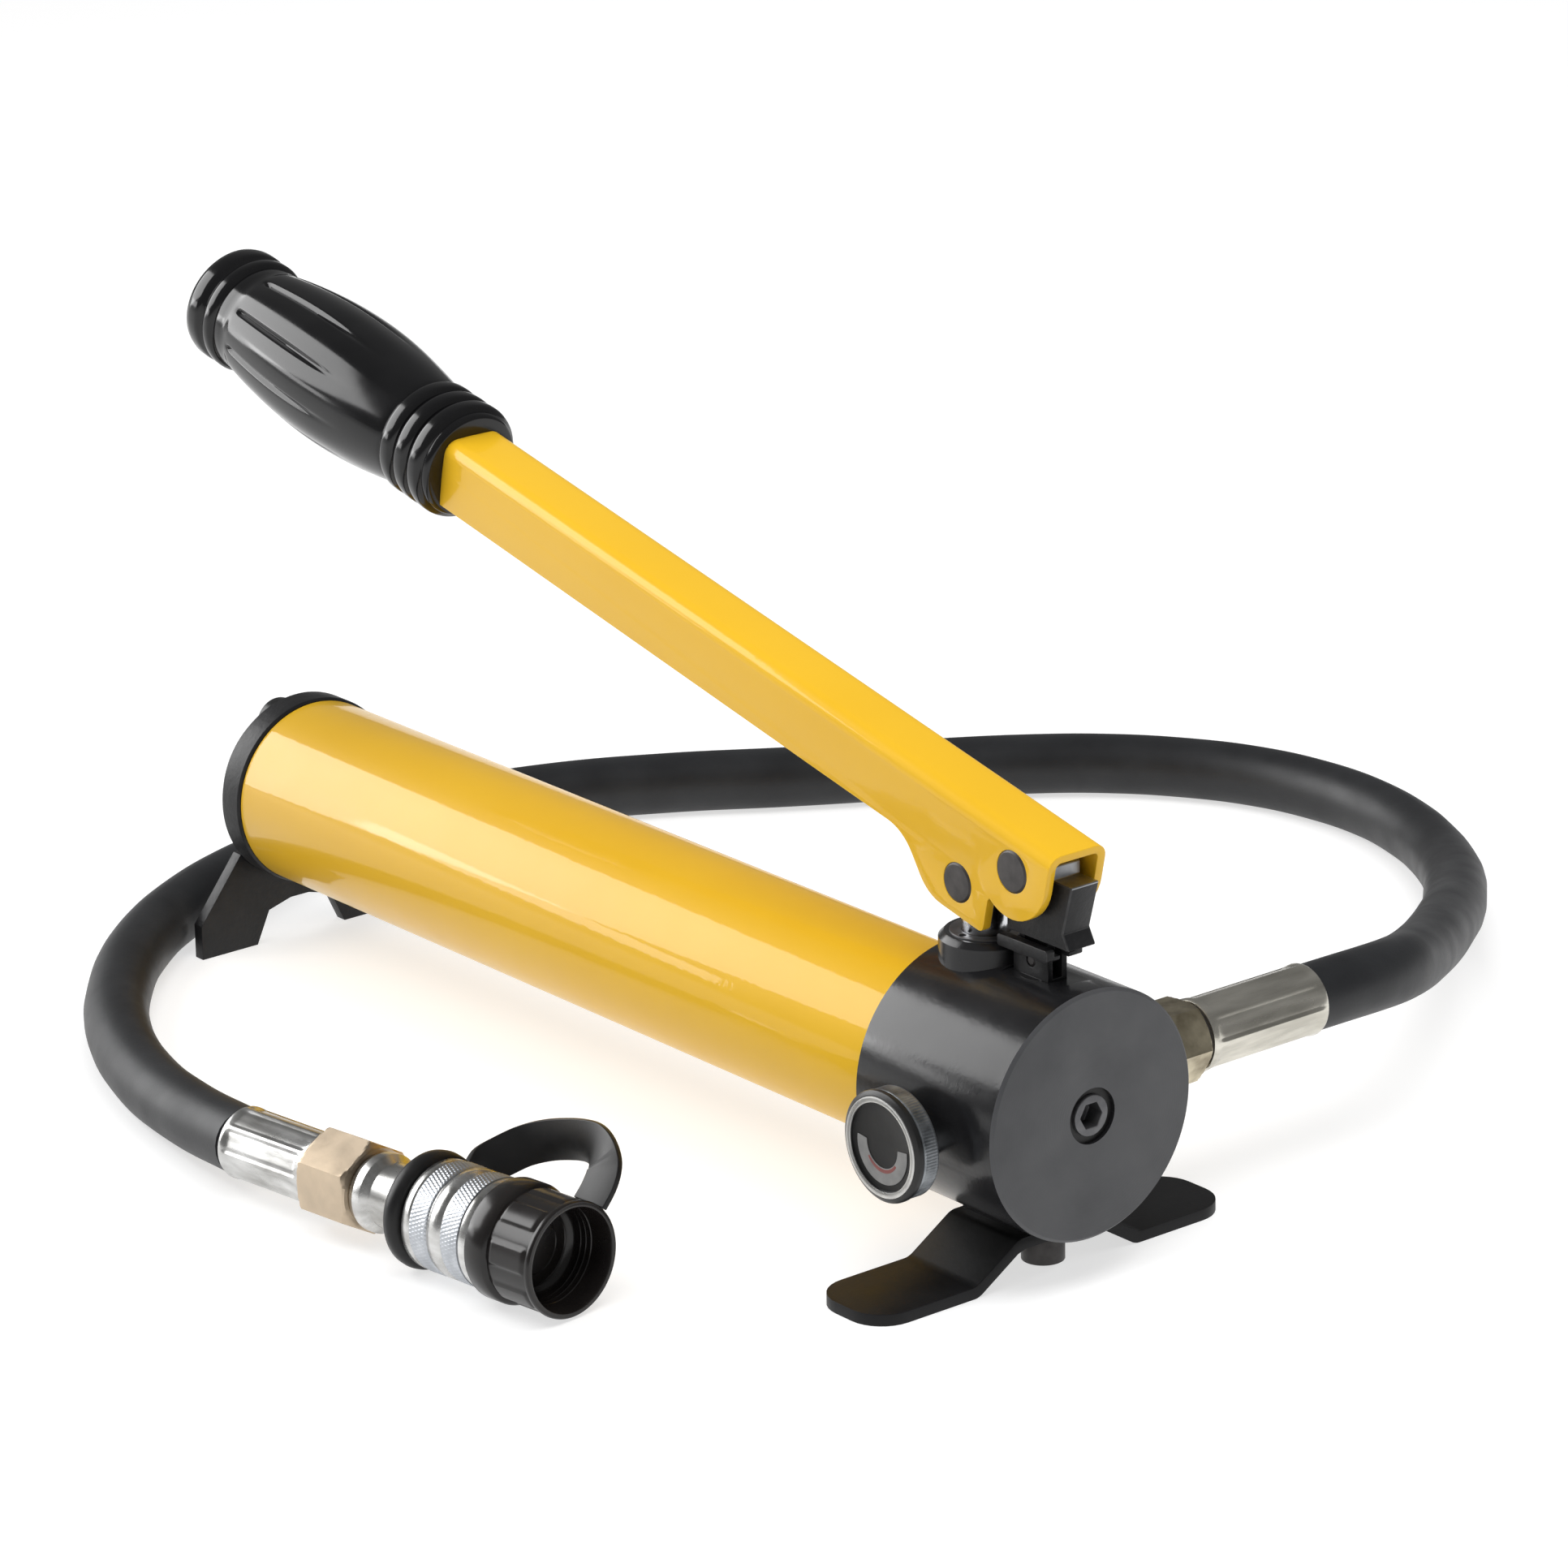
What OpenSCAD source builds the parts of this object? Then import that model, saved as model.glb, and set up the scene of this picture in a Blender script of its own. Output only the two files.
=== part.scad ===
// Hydraulic hand pump with a lever, an oil reservoir and a hose that ends in a quick coupler.
// Lengths in millimetres, +Z up. The pump head faces -Y, and the reservoir runs back along +Y.

/* [Pump head and reservoir] */
// Height of the body's centre line above the bench
axis_z = 43.7; // [43.5:0.1:44]
// Outer diameter of the pump head
head_d = 63; // [62.6:0.2:63.4]
// Length of the pump head, without the spigot inside the tube
head_l = 50; // [50:0.5:52]
// Outer diameter of the reservoir tube
tube_d = 50; // [49:0.5:52]
// Bore of the reservoir tube
tube_bore = 44.3; // [44.3:0.1:44.6]
// Rear end of the reservoir tube, measured from the head's front face
tube_end = 315.5; // [310:0.5:320]

/* [Lever and linkage] */
// Angle of the parked lever above the horizontal
lever_angle = 12.3; // [11:0.1:13]
// Width of the folded lever channel
lever_w = 18; // [18:0.1:18.4]
// Thickness of the lever's steel sheet
lever_wall = 2.5; // [2.2:0.1:2.5]
// Length of the lever from the front pin to its buried end
lever_l = 325; // [300:1:326]
// Radius of the front lever pin's heads
front_pin_r = 5.3; // [5:0.1:5.5]
// Radius of the rear lever pin
rear_pin_r = 5; // [4.8:0.1:5]
// Radius of the plunger
plunger_r = 6; // [5.9:0.1:6]

/* [Grip] */
// Length of the moulded grip
grip_l = 111; // [108:1:114]
// Largest radius of the grip's bulge
grip_bulge_r = 18.3; // [17.5:0.1:18.5]
// Radius of the rings at both ends of the grip
grip_ring_r = 15.8; // [15.5:0.1:16]

/* [Release knob] */
// Radius of the release knob
knob_r = 13.9; // [13.6:0.1:14.4]
// Distance of the knob's face from the pump's middle plane
knob_face_x = 44; // [43:0.5:46]

/* [Feet] */
// Overall width of the front foot plate
foot_w = 113; // [104:1:116]
// Depth of the front foot plate
foot_depth = 25; // [23:1:26]
// Thickness of the front foot plate
foot_t = 3; // [2.6:0.2:3]
// Half of the rear foot's width on the bench
rear_half_w = 32.6; // [31:0.2:34]

/* [Hose and coupler] */
// Outer diameter of the hose
hose_d = 17.2; // [16.8:0.1:17.2]
// Radius of the crimped ferrules
ferrule_r = 9.3; // [9.1:0.1:9.5]
// Radius of the coupler's turning collar
collar_r = 13.9; // [13.6:0.1:14]
// Radius of the dust cap at its mouth
cap_r = 14.5; // [14.3:0.1:14.7]

/* [Hidden] */
$fn = 64;

// Y positions are written as distances behind the head's front face. mid_y is the middle of the pump.
mid_y = 175.3;
gap = 0.05;                      // radial clearance of a running fit
head_r = head_d / 2;
tube_r = tube_d / 2;
bore_r = tube_bore / 2;
spigot_r = bore_r - gap;
spigot_l = 14;
cap_rear = tube_end + 13.5;        // rear face of the rear cap

// Linkage: centres of the front lever pin, the rear lever pin and the lug pin, as [y, z]
front_pin = [18.3, 102.3];
rear_pin = [38, 94.3];
lug_pin_at = [18.5, 78.6];
lug_pin_r = 1.7;
lug_half = 3;                    // half-width of the lug's stem
lug_head_half = 5.6;             // half-width of the lug's flat head
lug_head = [80.7, 83.7];         // underside and top of the lug's head
blade_half = 1.4;                // half-width of the link's blade in the lug's slot
link_half = 4.3;                 // half-width of the link's body
eye_at = front_pin + [0.4, -0.1]; // middle of the link's eye, which leaves the front pin room to shift
boss_top = 80.4;                 // top of the plunger boss on the head

// Side ports of the head, as [y, z]: the outlet at +X and the release valve at -X
port = [26, 42.3];
knob_port = [26, 39.5];
front_bolt_y = 18;
foot_y = 25;                     // middle of the front foot plate
foot_lift = 8.5;                 // underside of the foot plate's raised middle

// Channel of the lever, in its own frame: u runs back from the front pin, v is square to it
lever_top = 9.5;
lever_low = -8.4;
web_under = lever_top - 2.1;
lever_bend = 3.6;
cheek_in = lever_w / 2 - lever_wall;
grip_start = 227;
grip_axis_v = 0.75;

// Coupler, which lies on the bench: the middle of the dust cap's mouth and its heading
mouth = [-105.2, 66, 15.2];
coupler_yaw = 6;
coupler_dip = 1;
ferrule_back = 118;              // rear end of the coupler's ferrule, behind the mouth

// Hose route, from the pump's ferrule to the coupler's ferrule, as [x, y, z]
hose_route = [
    [93.2, 26, 42.3], [105, 26.4, 42], [117.5, 28.3, 40.9], [130, 32.6, 38.8], [143, 40.5, 35.4],
    [159, 51.8, 31.2], [176.7, 65, 27], [194, 79, 22.8], [210, 92.5, 19], [224.5, 106.5, 15.8],
    [237.5, 120, 13], [249, 134.5, 10.6], [258.5, 149.5, 9.2], [266, 166, 8.6], [270.8, 187, 8.6],
    [270.5, 209, 8.6], [265.5, 229.5, 8.6], [255.5, 248.5, 8.6], [241, 266.5, 8.6], [223, 281.8, 8.6],
    [196, 299.5, 8.6], [166, 318, 8.6], [137, 337, 8.6], [106, 352.5, 8.6], [73, 361, 8.6],
    [38, 363, 8.6], [4, 356.8, 8.6], [-27.5, 343.2, 8.6], [-53, 325.2, 8.6], [-74.2, 303, 8.6],
    [-92.2, 276.8, 8.6], [-105.5, 245, 8.6], [-113, 214, 10.2], [-117.54, 183.39, 13.14]
];

function arc(c, r, a0, a1, n = 8) =
    [for (i = [0:n]) let (a = a0 + (a1 - a0) * i / n) c + r * [cos(a), sin(a)]];
function unit(v) = v / norm(v);

// ---- placing helpers ----
module placed() { translate([0, -mid_y, 0]) children(); }
module rod_x(x0, x1, r, at = [0, 0]) {
    translate([x0, at[0], at[1]]) rotate([0, 90, 0]) cylinder(h = x1 - x0, r = r);
}
module rod_y(y0, y1, r, at = [0, axis_z]) {
    translate([at[0], y0, at[1]]) rotate([-90, 0, 0]) cylinder(h = y1 - y0, r = r);
}
module rod_z(z0, z1, r, at = [0, 0]) {
    translate([at[0], at[1], z0]) cylinder(h = z1 - z0, r = r);
}
module drill(p, q, r) {
    d = q - p;
    translate(p) rotate([0, acos(d[2] / norm(d)), atan2(d[1], d[0])]) cylinder(h = norm(d), r = r);
}
// Turned piece on an axis along +Y or +X: points are [radius, position]
module turned_y(points, at = [0, axis_z]) {
    translate([at[0], 0, at[1]]) rotate([-90, 0, 0]) rotate_extrude() polygon(points);
}
module turned_x(points, at = port) {
    translate([0, at[0], at[1]]) rotate([0, 90, 0]) rotate_extrude() polygon(points);
}
// Flat outline in the YZ plane with thickness along X, and one in the XZ plane with depth along Y
module slab_x(x0, x1) { translate([x0, 0, 0]) rotate([90, 0, 90]) linear_extrude(x1 - x0) children(); }
module slab_y(y0, y1) { translate([0, y1, 0]) rotate([90, 0, 0]) linear_extrude(y1 - y0) children(); }
module hex(h, across) { cylinder(h = h, r = across / 2 / cos(30), $fn = 6); }
module in_lever() {
    placed() translate([0, front_pin[0], front_pin[1]]) rotate([lever_angle, 0, 0]) children();
}
module in_coupler() {
    placed() translate(mouth) rotate([-coupler_dip, 0, coupler_yaw]) children();
}
// Rings of points joined into one closed solid
module skin(rings) {
    n = len(rings[0]);
    m = len(rings);
    polyhedron(
        points = [for (r = rings, p = r) p],
        faces = concat(
            [[for (i = [0:n - 1]) i]],
            [for (k = [0:m - 2], i = [0:n - 1])
                [k * n + i, (k + 1) * n + i, (k + 1) * n + (i + 1) % n, k * n + (i + 1) % n]],
            [[for (i = [n - 1:-1:0]) (m - 1) * n + i]]));
}
function tangent(path, i, first, last) =
    i == 0 ? first : i == len(path) - 1 ? last : unit(path[i + 1] - path[i - 1]);
function frame_ring(c, t, outline) =
    let (s = unit(cross([0, 0, 1], t)), w = cross(t, s)) [for (p = outline) c + p[0] * s + p[1] * w];

// Round wire spring along +Y
module coil(y0, y1, r, wire, turns, at) {
    steps = 10 * turns;
    rings = [for (k = [0:steps])
        let (a = 360 * turns * k / steps, y = y0 + wire + (y1 - y0 - 2 * wire) * k / steps)
        [for (j = [0:5]) let (b = 60 * j, q = r - wire + wire * cos(b))
            [at[0] + q * cos(a), y + wire * sin(b), at[1] + q * sin(a)]]];
    skin(rings);
}

// ---- head and what it holds ----
outlet_seat_y = 20;
outlet_ball_r = 3.5;
inlet_z = 29.5;
inlet_ball_r = 3;
relief_at = [10, 40];
filler_z = axis_z + 15.4;

module pump_head() color([0.2, 0.2, 0.21]) placed() difference() {
    union() {
        turned_y([[0, 0], [head_r - 0.8, 0], [head_r, 0.8], [head_r, head_l - 0.5],
            [head_r - 0.5, head_l], [spigot_r, head_l], [spigot_r, head_l + 5.5], [spigot_r - 1.9, head_l + 5.5],
            [spigot_r - 1.9, head_l + 7.5], [spigot_r, head_l + 7.5], [spigot_r, head_l + spigot_l],
            [0, head_l + spigot_l]]);
        translate([0, rear_pin[0], 0]) rotate_extrude()
            polygon([[0, axis_z + 20], [11.6, axis_z + 20], [11.6, boss_top - 1.4], [10.2, boss_top], [0, boss_top]]);
        translate([-9, foot_y - 12, foot_lift + foot_t]) cube([18, 24, 6]);
    }
    rod_z(25.5, 90, plunger_r + gap, [0, rear_pin[0]]);
    rod_z(71.5, 90, 9, [0, rear_pin[0]]);
    translate([-7, 7, 74.6]) cube([14, 18.9, 9]);
    rod_z(66, 80, 5, [0, lug_pin_at[0]]);
    rod_y(-1, outlet_seat_y, 7.05);
    rod_y(-1, rear_pin[0], 2);
    rod_x(19, 40, 8, port);
    rod_x(31, 40, 10, port);
    rod_x(-40, -19, 6, knob_port);
    rod_x(-20, -13, 2.6, knob_port);
    drill([20, port[0], port[1]], [4, 13, axis_z], 1.8);
    drill([-13.5, knob_port[0], knob_port[1]], [-4, 13, axis_z], 1.2);
    drill([-22, knob_port[0], knob_port[1]], [-15, head_l + spigot_l + 1, knob_port[1]], 1.2);
    rod_y(45, head_l + spigot_l + 1, 5, [0, inlet_z]);
    rod_y(rear_pin[0], 46, 1.6, [0, inlet_z]);
    rod_y(52, head_l + spigot_l + 1, 4, [0, axis_z]);
    rod_z(0, 24.5, 4, [0, front_bolt_y]);
    rod_z(0, 30, 3, relief_at);
    drill([relief_at[0], relief_at[1], 30.5], [0, rear_pin[0], 34], 1);
    drill([relief_at[0], relief_at[1], 27], [9, head_l + spigot_l + 1, 31], 1);
}
module reservoir_tube() color([0.93, 0.70, 0.15]) placed()
    turned_y([[bore_r, head_l], [tube_r, head_l], [tube_r, tube_end], [bore_r, tube_end]]);
module head_gasket() color([0.08, 0.08, 0.08]) placed() gasket(head_l + 6.5);
module cap_gasket() color([0.08, 0.08, 0.08]) placed() gasket(tube_end - 6.5);
module gasket(y) {
    translate([0, y, axis_z]) rotate([-90, 0, 0]) rotate_extrude() translate([bore_r - 1, 0]) circle(r = 0.9, $fn = 24);
}
module tie_rod() color([0.6, 0.6, 0.62]) placed() rod_y(52.5, cap_rear + 9, 4);
module tie_washer() color([0.75, 0.76, 0.78]) placed() difference() {
    rod_y(cap_rear, cap_rear + 1.5, 8);
    rod_y(cap_rear - 1, cap_rear + 2, 4 + gap);
}
module tie_nut() color([0.75, 0.76, 0.78]) placed() difference() {
    translate([0, cap_rear + 1.5, axis_z]) rotate([-90, 0, 0]) hex(6.5, 13);
    rod_y(cap_rear, cap_rear + 9, 4);
}
module filler_plug() color([0.15, 0.15, 0.15]) placed() difference() {
    union() {
        rod_y(tube_end + 4.5, cap_rear, 4.95, [0, filler_z]);
        rod_y(cap_rear, cap_rear + 4, 6.8, [0, filler_z]);
    }
    translate([0, cap_rear + 1.5, filler_z]) rotate([-90, 0, 0]) hex(3, 5);
}

// ---- rear cap with its two legs ----
leg_y0 = tube_end + 10;
leg_y1 = cap_rear;
module rear_cap() color([0.16, 0.16, 0.17]) placed() difference() {
    union() {
        turned_y([[18, tube_end - 12], [spigot_r, tube_end - 12], [spigot_r, tube_end - 7.5],
            [spigot_r - 1.9, tube_end - 7.5], [spigot_r - 1.9, tube_end - 5.5], [spigot_r, tube_end - 5.5],
            [spigot_r, tube_end], [tube_r + 0.2, tube_end], [tube_r + 0.7, tube_end + 0.7],
            [tube_r + 0.7, tube_end + 7.5], [tube_r - 1.5, tube_end + 10.5], [20, tube_end + 10.5],
            [20, cap_rear], [0, cap_rear], [0, tube_end + 5], [18, tube_end + 5]]);
        slab_y(leg_y0, leg_y1) polygon(leg_outline());
    }
    rod_y(tube_end, cap_rear + 1, 4 + gap);
    rod_y(tube_end, cap_rear + 1, 5, [0, filler_z]);
}
function leg_outline() =
    let (w = rear_half_w, half = [[w, 0], [w, 9.5], [18.8, 27]], arch = [[3, 11], [10.3, 9], [14.5, 0]])
    concat([for (i = [0:2]) half[i]], [for (i = [2:-1:0]) [-half[i][0], half[i][1]]],
        [for (i = [2:-1:0]) [-arch[i][0], arch[i][1]]], [for (i = [0:2]) arch[i]]);

// ---- front foot ----
module front_foot() color([0.13, 0.13, 0.14]) placed() difference() {
    intersection() {
        slab_y(foot_y - foot_depth / 2, foot_y + foot_depth / 2) polygon(concat(
            [for (i = [2:-1:0]) strip_half(1, 0)[i]], strip_half(-1, 0),
            [for (i = [2:-1:0]) strip_half(-1, foot_t)[i]], strip_half(1, foot_t)));
        translate([0, foot_y, -1]) linear_extrude(20) foot_plan();
    }
    rod_z(0, 20, 4.3, [0, front_bolt_y]);
}
// Half of the bent strip, from its middle out: rise is 0 for the underside and foot_t for the top
function strip_half(side, rise) =
    let (shift = rise == 0 ? 0 : 0.87)
    [[side * (11.5 + shift), foot_lift + rise], [side * (25 + shift), rise], [side * foot_w / 2, rise]];
module foot_plan() {
    c = foot_w / 2 - 9.5;
    d = foot_depth / 2 - 9.5;
    polygon(concat(arc([c, d], 9.5, 0, 90), arc([-c, d], 9.5, 90, 180),
        arc([-c, -d], 9.5, 180, 270), arc([c, -d], 9.5, 270, 360)));
}
module foot_bolt() color([0.15, 0.15, 0.16]) placed() difference() {
    union() {
        rod_z(1.8, foot_lift, 5.35, [0, front_bolt_y]);
        rod_z(foot_lift, 24, 4, [0, front_bolt_y]);
    }
    translate([0, front_bolt_y, 1]) hex(4, 6);
}

// ---- valves inside the head ----
module front_plug() color([0.45, 0.45, 0.47]) placed() difference() {
    union() {
        rod_y(0.3, 7, 5.2);
        rod_y(3, 7, 7);
    }
    translate([0, -1, axis_z]) rotate([-90, 0, 0]) hex(6, 6);
}
module front_plug_seal() color([0.1, 0.1, 0.1]) placed() difference() {
    rod_y(1.2, 3, 7);
    rod_y(1, 4, 5.2);
}
outlet_ball_y = outlet_seat_y - sqrt(outlet_ball_r * outlet_ball_r - 4);
module outlet_ball() color([0.8, 0.8, 0.82]) placed()
    translate([0, outlet_ball_y, axis_z]) sphere(r = outlet_ball_r);
module outlet_spring() color([0.7, 0.7, 0.72]) placed()
    coil(7.1, outlet_ball_y - 4.4, 3, 0.4, 3, [0, axis_z]);
inlet_seat_y = 52;
inlet_ball_y = inlet_seat_y - sqrt(inlet_ball_r * inlet_ball_r - 1.8 * 1.8);
module inlet_seat() color([0.72, 0.58, 0.3]) placed() difference() {
    rod_y(inlet_seat_y, 58, 4.95, [0, inlet_z]);
    rod_y(inlet_seat_y - 1, 59, 1.8, [0, inlet_z]);
}
module inlet_ball() color([0.8, 0.8, 0.82]) placed()
    translate([0, inlet_ball_y, inlet_z]) sphere(r = inlet_ball_r);
module suction_tube() color([0.75, 0.76, 0.78]) placed() difference() {
    union() {
        rod_y(58, 63, 4.95, [0, inlet_z]);
        rod_y(63, 150, 3, [0, inlet_z]);
    }
    rod_y(57, 151, 1.8, [0, inlet_z]);
}
module oil_strainer() color([0.7, 0.6, 0.35]) placed() difference() {
    rod_y(140, 172, 5.8, [0, inlet_z]);
    rod_y(139, 150, 3 + gap, [0, inlet_z]);
    rod_y(150, 170, 4.8, [0, inlet_z]);
}
module relief_screw() color([0.3, 0.3, 0.3]) placed() difference() {
    rod_z(16.5, 20.5, 2.95, relief_at);
    translate([relief_at[0], relief_at[1], 16]) hex(2.5, 3);
}
module relief_spring() color([0.7, 0.7, 0.72]) placed()
    translate([relief_at[0], relief_at[1], 0]) rotate([90, 0, 0]) coil(20.5, 25.4, 1.7, 0.3, 4, [0, 0]);
module relief_ball() color([0.8, 0.8, 0.82]) placed()
    translate([relief_at[0], relief_at[1], 27.9]) sphere(r = 2);
module gland_nut() color([0.3, 0.3, 0.31]) placed() difference() {
    rod_z(73.6, boss_top + 0.3, 8.95, [0, rear_pin[0]]);
    rod_z(70, 90, plunger_r + gap, [0, rear_pin[0]]);
    for (side = [-1, 1]) rod_z(77.5, 90, 0.9, [side * 7.5, rear_pin[0]]);
}
module gland_seal() color([0.1, 0.1, 0.1]) placed() difference() {
    rod_z(71.6, 73.5, 8.9, [0, rear_pin[0]]);
    rod_z(70, 90, plunger_r + gap, [0, rear_pin[0]]);
}

// ---- plunger, lug and link ----
eye_half = cheek_in - 0.5;
module plunger() color([0.62, 0.63, 0.65]) placed() difference() {
    union() {
        translate([0, rear_pin[0], 0]) rotate_extrude() polygon([[0, 50], [plunger_r - 1, 50],
            [plunger_r, 51], [plunger_r, rear_pin[1] - 2], [0, rear_pin[1] - 2]]);
        rod_x(-eye_half, eye_half, 7.8, rear_pin);
    }
    rod_x(-10, 10, rear_pin_r + gap, rear_pin);
}
module link_lug() color([0.15, 0.15, 0.16]) placed() difference() {
    union() {
        translate([-lug_half, 12.3, 74.6]) cube([2 * lug_half, 12.4, lug_head[0] - 74.6 + 0.1]);
        slab_x(-lug_head_half, lug_head_half) polygon([[9.7, lug_head[0] + 0.4], [10.1, lug_head[0]],
            [27.2, lug_head[0]], [27.6, lug_head[0] + 0.4], [27.6, lug_head[1] - 0.5], [27.1, lug_head[1]],
            [10.2, lug_head[1]], [9.7, lug_head[1] - 0.5]]);
        rod_z(66.5, 74.6, 4.95, [0, lug_pin_at[0]]);
    }
    translate([-3.2, 5, lug_head[0] + 1.2]) cube([6.4, 25, 9]);
    translate([-blade_half - 0.1, 5, lug_pin_at[1] - 3.5]) cube([2 * blade_half + 0.2, 25, 15]);
    rod_x(-5, 5, lug_pin_r, lug_pin_at);
}
module lug_pin() color([0.35, 0.35, 0.36]) placed() rod_x(-lug_half, lug_half, lug_pin_r, lug_pin_at);
module link() color([0.14, 0.14, 0.15]) placed() difference() {
    union() {
        slab_x(-link_half, link_half) polygon(concat(
            [[3.4, 85], [5.6, 89], [2.2, 101.3], [8.8, 101.5], [8.8, 104.8]],
            arc(eye_at, 6.4, 130, -10, 14),
            [[25.6, 95], [25.6, 85]]));
        slab_x(-blade_half, blade_half) polygon(concat(
            [[23.4, 85.5], [21.7, lug_pin_at[1]]], arc(lug_pin_at, 3.2, 0, -180, 16), [[13.6, 85.5]]));
    }
    rod_x(-10, 10, lug_pin_r + gap, lug_pin_at);
    rod_x(-10, 10, 5.1, eye_at);
}

// ---- lever ----
rear_pin_uv = let (d = rear_pin - front_pin)
    [d[0] * cos(lever_angle) + d[1] * sin(lever_angle), d[1] * cos(lever_angle) - d[0] * sin(lever_angle)];
// Side outline of the lever: front lobe round the front pin, notch, tongue, rear lobe and tail
function lever_outline() = concat(
    [[lever_l, lever_top], [-12, lever_top]],
    arc([0, 0], 12, 180, 300, 14),
    [[6.6, -11.4]],
    arc([8.1, -18.7], 1.5, 180, 270, 4),
    arc([22, -8], 12.2, 270, 315, 8),
    arc([44.56, -22.5], 14, 135, 90, 8),
    [[lever_l, lever_low]]);
module lever_section() difference() {
    h = lever_w / 2;
    polygon(concat([[-h, -30]], arc([-h + lever_bend, lever_top - lever_bend], lever_bend, 180, 90, 6),
        arc([h - lever_bend, lever_top - lever_bend], lever_bend, 90, 0, 6), [[h, -30]]));
    polygon(concat([[-cheek_in, -31]], arc([-cheek_in + 1.4, web_under - 1.4], 1.4, 180, 90, 4),
        arc([cheek_in - 1.4, web_under - 1.4], 1.4, 90, 0, 4), [[cheek_in, -31]]));
}
module lever() color([0.93, 0.70, 0.15]) in_lever() difference() {
    intersection() {
        slab_x(-lever_w / 2, lever_w / 2) polygon(lever_outline());
        slab_y(-12.5, lever_l + 1) lever_section();
    }
    rod_x(-20, 20, front_pin_r, [0, 0]);
    rod_x(-20, 20, rear_pin_r, rear_pin_uv);
}
pin_half = lever_w / 2 + 0.4;
module lever_pin_front() color([0.25, 0.24, 0.24]) in_lever() union() {
    rod_x(-pin_half, -cheek_in, front_pin_r, [0, 0]);
    rod_x(-cheek_in, cheek_in, 4.3, [0, 0]);
    rod_x(cheek_in, pin_half, front_pin_r, [0, 0]);
}
module lever_pin_rear() color([0.25, 0.24, 0.24]) in_lever() rod_x(-pin_half, pin_half, rear_pin_r, rear_pin_uv);
function rib(y, r) = [[r - 1.2, y - 2.6], [r - 0.3, y - 2], [r, y - 1], [r, y + 1], [r - 0.3, y + 2], [r - 1.2, y + 2.6]];
module grip() color([0.06, 0.06, 0.07]) in_lever() difference() {
    translate([0, grip_start, grip_axis_v]) rotate([-90, 0, 0]) rotate_extrude() polygon(concat(
        [[0, 0], [13.6, 0], [14.6, 1]],
        rib(5, grip_ring_r), rib(11, grip_ring_r), rib(17, grip_ring_r),
        [for (i = [0:10]) [14.8 + (grip_bulge_r - 14.8) * pow(sin(18 * i), 0.9), 22 + (grip_l - 40) * i / 10]],
        rib(grip_l - 13, grip_ring_r), rib(grip_l - 6, grip_ring_r + 0.2),
        [[14, grip_l - 2], [11, grip_l - 0.4], [8, grip_l], [0, grip_l]]));
    translate([-lever_w / 2 - gap, grip_start - 1, lever_low - 0.4])
        cube([lever_w + 2 * gap, lever_l - grip_start + 2, lever_top - lever_low + 0.45]);
}

// ---- release valve: knob at -X ----
badge_r = knob_r - 1.4;
module release_knob() color([0.08, 0.08, 0.08]) placed() turned_x([[0, -knob_face_x + 1],
    [badge_r - 1.6, -knob_face_x + 1], [badge_r - 1.6, -knob_face_x + 0.3], [knob_r - 0.9, -knob_face_x + 0.3],
    [knob_r, -knob_face_x + 1], [knob_r, -knob_face_x + 2.4], [0, -knob_face_x + 2.4]], knob_port);
module knob_ring() color([0.5, 0.52, 0.54]) placed() difference() {
    rod_x(-knob_face_x + 2.4, -knob_face_x + 7.3, knob_r - 0.2, knob_port);
    rod_x(-knob_face_x + 2, -knob_face_x + 9, 6, knob_port);
}
module knob_badge() color([0.6, 0.6, 0.6]) placed() difference() {
    rod_x(-knob_face_x, -knob_face_x + 0.3, badge_r, knob_port);
    rod_x(-knob_face_x - 1, -knob_face_x + 1, badge_r - 1.5, knob_port);
}
module release_stem() color([0.7, 0.71, 0.73]) placed() turned_x([[0, -knob_face_x + 2.4],
    [6 - gap, -knob_face_x + 2.4], [6 - gap, -21], [2.2, -19.5], [2.2, -16], [0.6, -14.2], [0, -14.2]], knob_port);

// ---- outlet and hose ----
nut_x = 53.6;
nut_x0 = 38.8;
module outlet_adapter() color([0.6, 0.55, 0.45]) placed() difference() {
    turned_x([[0, 19.3], [7.95, 19.3], [7.95, 31], [9.5, 31], [9.5, 34], [7, 35], [7, nut_x0], [0, nut_x0]]);
    rod_x(18, 40, 3, port);
}
module outlet_nut() color([0.72, 0.66, 0.55]) placed() difference() {
    translate([nut_x0, port[0], port[1]]) rotate([0, 90, 0]) union() {
        hex(nut_x - nut_x0, 19);
        cylinder(h = nut_x + 1.5 - nut_x0, r = 8);
    }
    rod_x(38, 60, 3, port);
}
module pump_ferrule() color([0.8, 0.82, 0.83]) placed() turned_x([[0, nut_x + 1.5], [ferrule_r - 0.5, nut_x + 1.5],
    [ferrule_r, nut_x + 2.2], [ferrule_r, 92.5], [ferrule_r - 0.4, 93.2], [0, 93.2]]);
coupler_axis = unit([-sin(coupler_yaw), cos(coupler_yaw), -sin(coupler_dip)]);
module hose() color([0.15, 0.15, 0.16]) placed() skin([for (i = [0:len(hose_route) - 1])
    frame_ring(hose_route[i], tangent(hose_route, i, [1, 0, 0], -coupler_axis),
        arc([0, 0], hose_d / 2, 0, 330, 11))]);

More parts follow.
